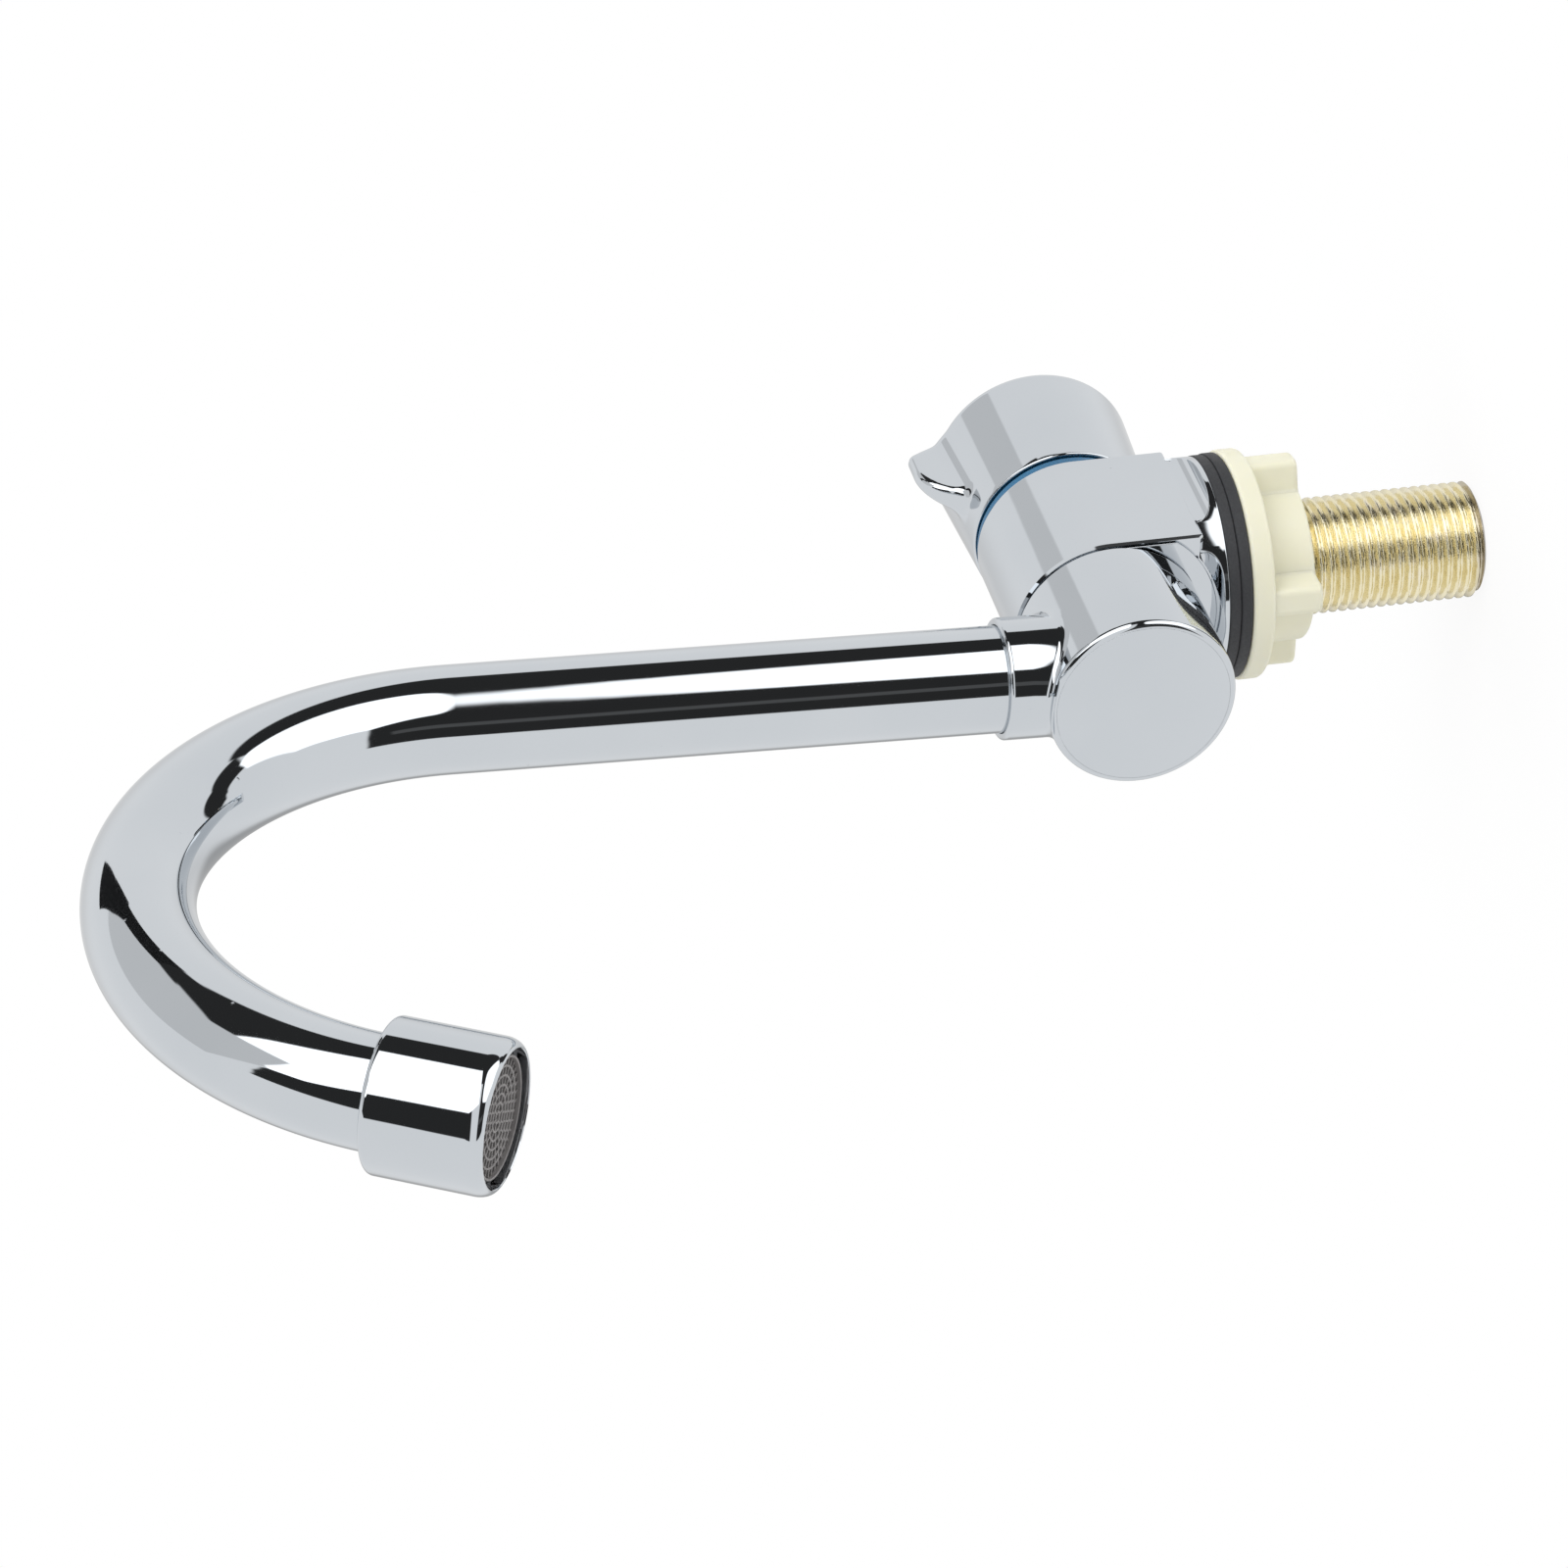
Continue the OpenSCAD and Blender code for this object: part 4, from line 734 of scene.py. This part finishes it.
# back nut: a moulded flange and hub with four finger lugs that taper outwards
def makeNut():
    size = {"flange": 20.7, "flangeFoot": -4.05, "top": -0.05, "foot": -13.05, "hub": 14.6, "bore": 10.58,
            "edge": 0.7, "fillet": 0.5, "boreEdge": 0.3, "lugStart": 13.2, "lugMeets": 14.7,
            "lugReach": 19.8, "lugRoot": 3.1, "lugTip": 2.5, "lugRound": 1.3, "lugFoot": 1.0}
    sizes = {"lugs": 4, "bearing": math.radians(10)}
    body = [(size["bore"], size["foot"], size["boreEdge"]), (size["hub"], size["foot"], size["edge"]),
            (size["hub"], size["flangeFoot"], size["fillet"]),
            (size["flange"], size["flangeFoot"], size["edge"]), (size["flange"], size["top"], size["edge"]),
            (size["bore"], size["top"], size["boreEdge"])]
    base = meshFrom("nutBody", [(*lathe(rounded(body, 6), 160), inMillimetres)])

    def lugRing(inset, z):
        w, t, r = size["lugRoot"] - inset, size["lugTip"] - inset, size["lugReach"] - inset
        half = [(size["lugStart"], w + 0.9, 0), (size["lugMeets"], w + 0.1, 0.5), (r, t, size["lugRound"])]
        corners = [(x, -y, edge) for x, y, edge in half] + half[::-1]
        return [(x, y, z) for x, y in rounded(corners, 5)]

    f = size["lugFoot"]
    rings = [lugRing(f + 0.08, size["foot"])]
    rings += [lugRing(f * (1 - math.sin(a)), size["foot"] + f * (1 - math.cos(a))) for a in edgeSteps]
    rings += [lugRing(0, size["foot"] + f + 0.1), lugRing(0, size["flangeFoot"] + 1)]
    lug = addObject("fingerLug", meshFrom("fingerLug", [(*loft(rings), inMillimetres)]))
    tree, inputs = startTree("fingerLugs", sizes)
    index = addNode(tree, "GeometryNodeInputIndex")
    share = addNode(tree, "ShaderNodeMath", {0: 2 * math.pi, 1: inputs["lugs"]}, operation="DIVIDE")
    angle = addNode(tree, "ShaderNodeMath", {0: index, 1: share, 2: inputs["bearing"]},
                    operation="MULTIPLY_ADD")
    heading = addNode(tree, "ShaderNodeCombineXYZ", {"Z": angle})
    points = addNode(tree, "GeometryNodePoints", {"Count": inputs["lugs"]})
    shape = addNode(tree, "GeometryNodeObjectInfo", {"Object": lug})
    lugs = addNode(tree, "GeometryNodeInstanceOnPoints",
                   {"Points": points, "Instance": shape.outputs["Geometry"], "Rotation": heading})
    endTree(tree, inputs, [inputs["Geometry"], lugs])
    mesh = growMesh("backNut", base, tree, sizes, nylon, upright, 40, False)
    bpy.data.objects.remove(lug)
    settle(mesh, nylon, "back_nut", "cream_plastic", "back_nut")


makeBody()
print("body made")
for ringName in ringSizes:
    makeRing(ringName)
print("rings and covers made")
makeHandle()
print("handle made")
makeHub()
makeSpout()
print("hub and spout made")
makeAeratorShell()
makeAeratorInsert()
makeScreen()
print("aerator made")
makeShank()
makeNut()
print("shank and nut made")

# the solids that stay inside keep their shape and take the finish of their slot
insideLooks = {"black_rubber": rubber, "black_acetal": blackAcetal, "turned_brass": brass,
               "alumina": ceramic, "spring_steel": springSteel}
for part in frame["record"]["subparts"]:
    look = insideLooks.get(part["material_slot"])
    node = frame["nodes"][part["node"]]
    if look and not node.hide_render:
        node.data.materials.clear()
        node.data.materials.append(look)
print("inner parts dressed")


# studio: a white room with two bright panels and black flags beside them, seen only in the metal
def makeWorld():
    # each patch is a level, a softness and its corners, clockwise, in degrees of azimuth and elevation;
    # later patches lie on top
    patches = (
        (0.78, 16, ((176, -10), (187, 20), (215, 32), (243, 20), (254, -10), (243, -40), (215, -52),
                    (187, -40))),
        (0.45, 8, ((216, -30), (214, -6), (222, 10), (238, 8), (248, -10), (240, -36), (224, -42))),
        (0.76, 1, ((60, 45), (60, 90), (180, 90), (180, 64), (167, 38), (164, 30), (156, 21), (147, 21))),
        (0.03, 1, ((-4, -41), (-3, -4), (80, -4), (80, -10), (40, -38), (20, -41))),
        (0.03, 1, ((-1, 26), (0, 40), (13, 76), (40, 73), (57, 66), (72, 26))),
        (0.1, 1, ((18, -32), (18, -4), (25, -4), (25, -32))),
        (0.03, 1, ((76, -10), (98, 46), (113, 46), (132, 28), (136, 8), (134, -5), (125, -40), (117, -44),
                   (104, -44))),
        (0.03, 1, ((110, -58), (122, -40), (137, -56), (140, -72), (120, -64))),
        (0.03, 1, ((136, -56), (152, -59), (186, -67), (186, -73), (155, -75), (134, -70))),
        (0.03, 1, ((184, -45), (188, -45), (187, -70), (183, -70))),
        (0.03, 1, ((131, 11), (131, 31), (137, 26), (139, 24), (139, 11))),
        (2.2, 1, ((50, 2), (46, 42), (47, 55), (58, 63), (64, 62), (78, 45), (80, 2))),
        (2.2, 1, ((76, 2), (76, 46), (102, 46), (104, 36), (108, 10), (104, 2))),
        (1.9, 1, ((66, -10.8), (80, -10.8), (92, -12.8), (98, -16), (107, -29), (116, -42), (116, -52),
                  (108, -61), (62, -61), (48, -50), (40, -38), (47, -16), (52, -12.8))),
    )
    world = bpy.data.worlds.new("studioRoom")
    scene.world = world
    world.use_nodes = True
    tree = world.node_tree
    tree.nodes.clear()
    way = addNode(tree, "ShaderNodeSeparateXYZ",
                  {"Vector": addNode(tree, "ShaderNodeTexCoord").outputs["Generated"]})
    compass = addNode(tree, "ShaderNodeMath", {0: way.outputs["Y"], 1: way.outputs["X"]},
                      operation="ARCTAN2")
    bearing = addNode(tree, "ShaderNodeMath", {0: compass, 1: 180 / math.pi}, operation="MULTIPLY")
    azimuth = addNode(tree, "ShaderNodeMath", {0: bearing, 1: 270.0, 2: -90.0}, operation="WRAP")
    climb = addNode(tree, "ShaderNodeMath", {0: way.outputs["Z"]}, operation="ARCSINE")
    elevation = addNode(tree, "ShaderNodeMath", {0: climb, 1: 180 / math.pi}, operation="MULTIPLY")
    spot = addNode(tree, "ShaderNodeCombineXYZ", {"X": azimuth, "Y": elevation, "Z": 1.0})
    seen = (1, 1, 1, 1)
    for level, soft, corners in patches:
        mask = 1.0
        for (x0, y0), (x1, y1) in zip(corners, corners[1:] + corners[:1]):
            dx, dy = x1 - x0, y1 - y0
            length = math.hypot(dx, dy)
            edge = (-dy / length, dx / length, (x0 * dy - y0 * dx) / length)
            away = addNode(tree, "ShaderNodeVectorMath", {0: spot, 1: edge}, operation="DOT_PRODUCT")
            inside = addNode(tree, "ShaderNodeMapRange", {"Value": away.outputs["Value"], "From Min": -soft,
                                                          "From Max": soft, "To Min": 1.0, "To Max": 0.0},
                             interpolation_type="SMOOTHSTEP")
            mask = addNode(tree, "ShaderNodeMath", {0: mask, 1: inside}, operation="MULTIPLY")
        grey = (level, level, level, 1)
        seen = addNode(tree, "ShaderNodeMix", {0: mask, 6: seen, 7: grey}, data_type="RGBA").outputs[2]
    path = addNode(tree, "ShaderNodeLightPath")
    mirrored = addNode(tree, "ShaderNodeMath",
                       {0: path.outputs["Is Glossy Ray"], 1: path.outputs["Is Transmission Ray"]},
                       operation="MAXIMUM")
    room = addNode(tree, "ShaderNodeMix", {0: mirrored, 6: (0.5, 0.5, 0.51, 1), 7: seen},
                   data_type="RGBA")
    shown = addNode(tree, "ShaderNodeMix",
                    {0: path.outputs["Is Camera Ray"], 6: room.outputs[2], 7: (1, 1, 1, 1)},
                    data_type="RGBA")
    ground = addNode(tree, "ShaderNodeBackground", {"Color": shown.outputs[2], "Strength": 1.0})
    addNode(tree, "ShaderNodeOutputWorld", {"Surface": ground})


def wayTo(azimuth, elevation):
    a, e = math.radians(azimuth), math.radians(elevation)
    return Vector((math.cos(a) * math.cos(e), math.sin(a) * math.cos(e), math.sin(e)))


# black cards beside the hook break the white room in its bend; only the metal sees them
def makeCards():
    # corners as (azimuth, elevation) round a point of the bend, all at one distance
    bend, away = Vector((100, 21, 207)), 300
    cards = {"longCard": ((136, 9), (136, 25), (151, 25), (151, 13)),
             "sideCard": ((151, 11), (150, 24), (160, 30), (177, 34), (174, 20), (160, 16))}
    black = makeFinish("blackFeltCard", ("#0c0c0d", "#171718"), 20, 1.0, (0.9, 1.0), 0.01)
    for name, corners in cards.items():
        points = [(bend + wayTo(*corner) * away) * mm for corner in corners]
        mesh = bpy.data.meshes.new(name)
        mesh.from_pydata(points, [], [list(range(len(points)))])
        mesh.materials.append(black)
        card = addObject(name, mesh)
        card.visible_camera = False
        card.visible_diffuse = False
        card.visible_shadow = False


def makeFloor():
    size = {"half": 6.0, "height": -0.0464, "glow": 0.9, "shadowFrom": 40, "shadowTo": 110}
    h, z = size["half"], size["height"]
    mesh = bpy.data.meshes.new("paleFloor")
    mesh.from_pydata([(-h, -h, z), (h, -h, z), (h, h, z), (-h, h, z)], [], [(0, 1, 2, 3)])
    material, tree, place = startMaterial("palePaper")
    paper = addNode(tree, "ShaderNodeBsdfDiffuse", {"Color": (0.95, 0.95, 0.95, 1)})
    glow = addNode(tree, "ShaderNodeEmission", {"Color": (1, 1, 1, 1), "Strength": 1.0})
    path = addNode(tree, "ShaderNodeLightPath")
    far = addNode(tree, "ShaderNodeVectorMath", {0: place}, operation="LENGTH")
    # the contact shadow fades into the white backdrop
    fade = addNode(tree, "ShaderNodeMapRange",
                   {"Value": far.outputs["Value"], "From Min": size["shadowFrom"] * mm,
                    "From Max": size["shadowTo"] * mm, "To Min": size["glow"], "To Max": 1.0},
                   interpolation_type="SMOOTHSTEP")
    share = addNode(tree, "ShaderNodeMath", {0: path.outputs["Is Camera Ray"], 1: fade},
                    operation="MULTIPLY")
    both = addNode(tree, "ShaderNodeMixShader", {0: share, 1: paper, 2: glow})
    addNode(tree, "ShaderNodeOutputMaterial", {"Surface": both})
    mesh.materials.append(material)
    floor = addObject("paleFloor", mesh)
    floor.visible_glossy = False  # the metal shows the white room instead


def makeLamps():
    # (name, azimuth, elevation, distance, size, power): soft panels that light the plastics and the rubber
    lamps = (("keyPanel", 78, 28, 1.3, 0.9, 9), ("topPanel", 150, 74, 1.2, 1.0, 6),
             ("fillPanel", -40, 12, 1.5, 1.1, 4))
    aim = Vector((0.03, 0, 0.06))
    for name, azimuth, elevation, distance, size, power in lamps:
        way = wayTo(azimuth, elevation)
        data = bpy.data.lights.new(name, "AREA")
        data.shape = "SQUARE"
        data.size = size
        data.energy = power
        lamp = addObject(name, data)
        lamp.location = aim + way * distance
        lamp.rotation_euler = way.to_track_quat("Z", "Y").to_euler()
        lamp.visible_glossy = False


def makeCamera():
    # fitted to the photo: position in millimetres, and the picture's right, down and forward
    shot = {"place": (882.192, 594.885, 275.185), "right": (0.20855, 0.01105643, -0.97794923),
            "down": (0.56243363, -0.81940171, 0.11067632),
            "forward": (-0.80010959, -0.57311307, -0.17710465), "lens": 140.521}
    data = bpy.data.cameras.new("photoCamera")
    data.sensor_width = 36
    data.lens = shot["lens"]
    camera = addObject("photoCamera", data)
    turn = Matrix((shot["right"], [-v for v in shot["down"]], [-v for v in shot["forward"]])).transposed()
    camera.matrix_world = Matrix.Translation(Vector(shot["place"]) * mm) @ turn.to_4x4()
    scene.camera = camera


makeWorld()
makeCards()
makeFloor()
makeLamps()
makeCamera()
print("stage set")
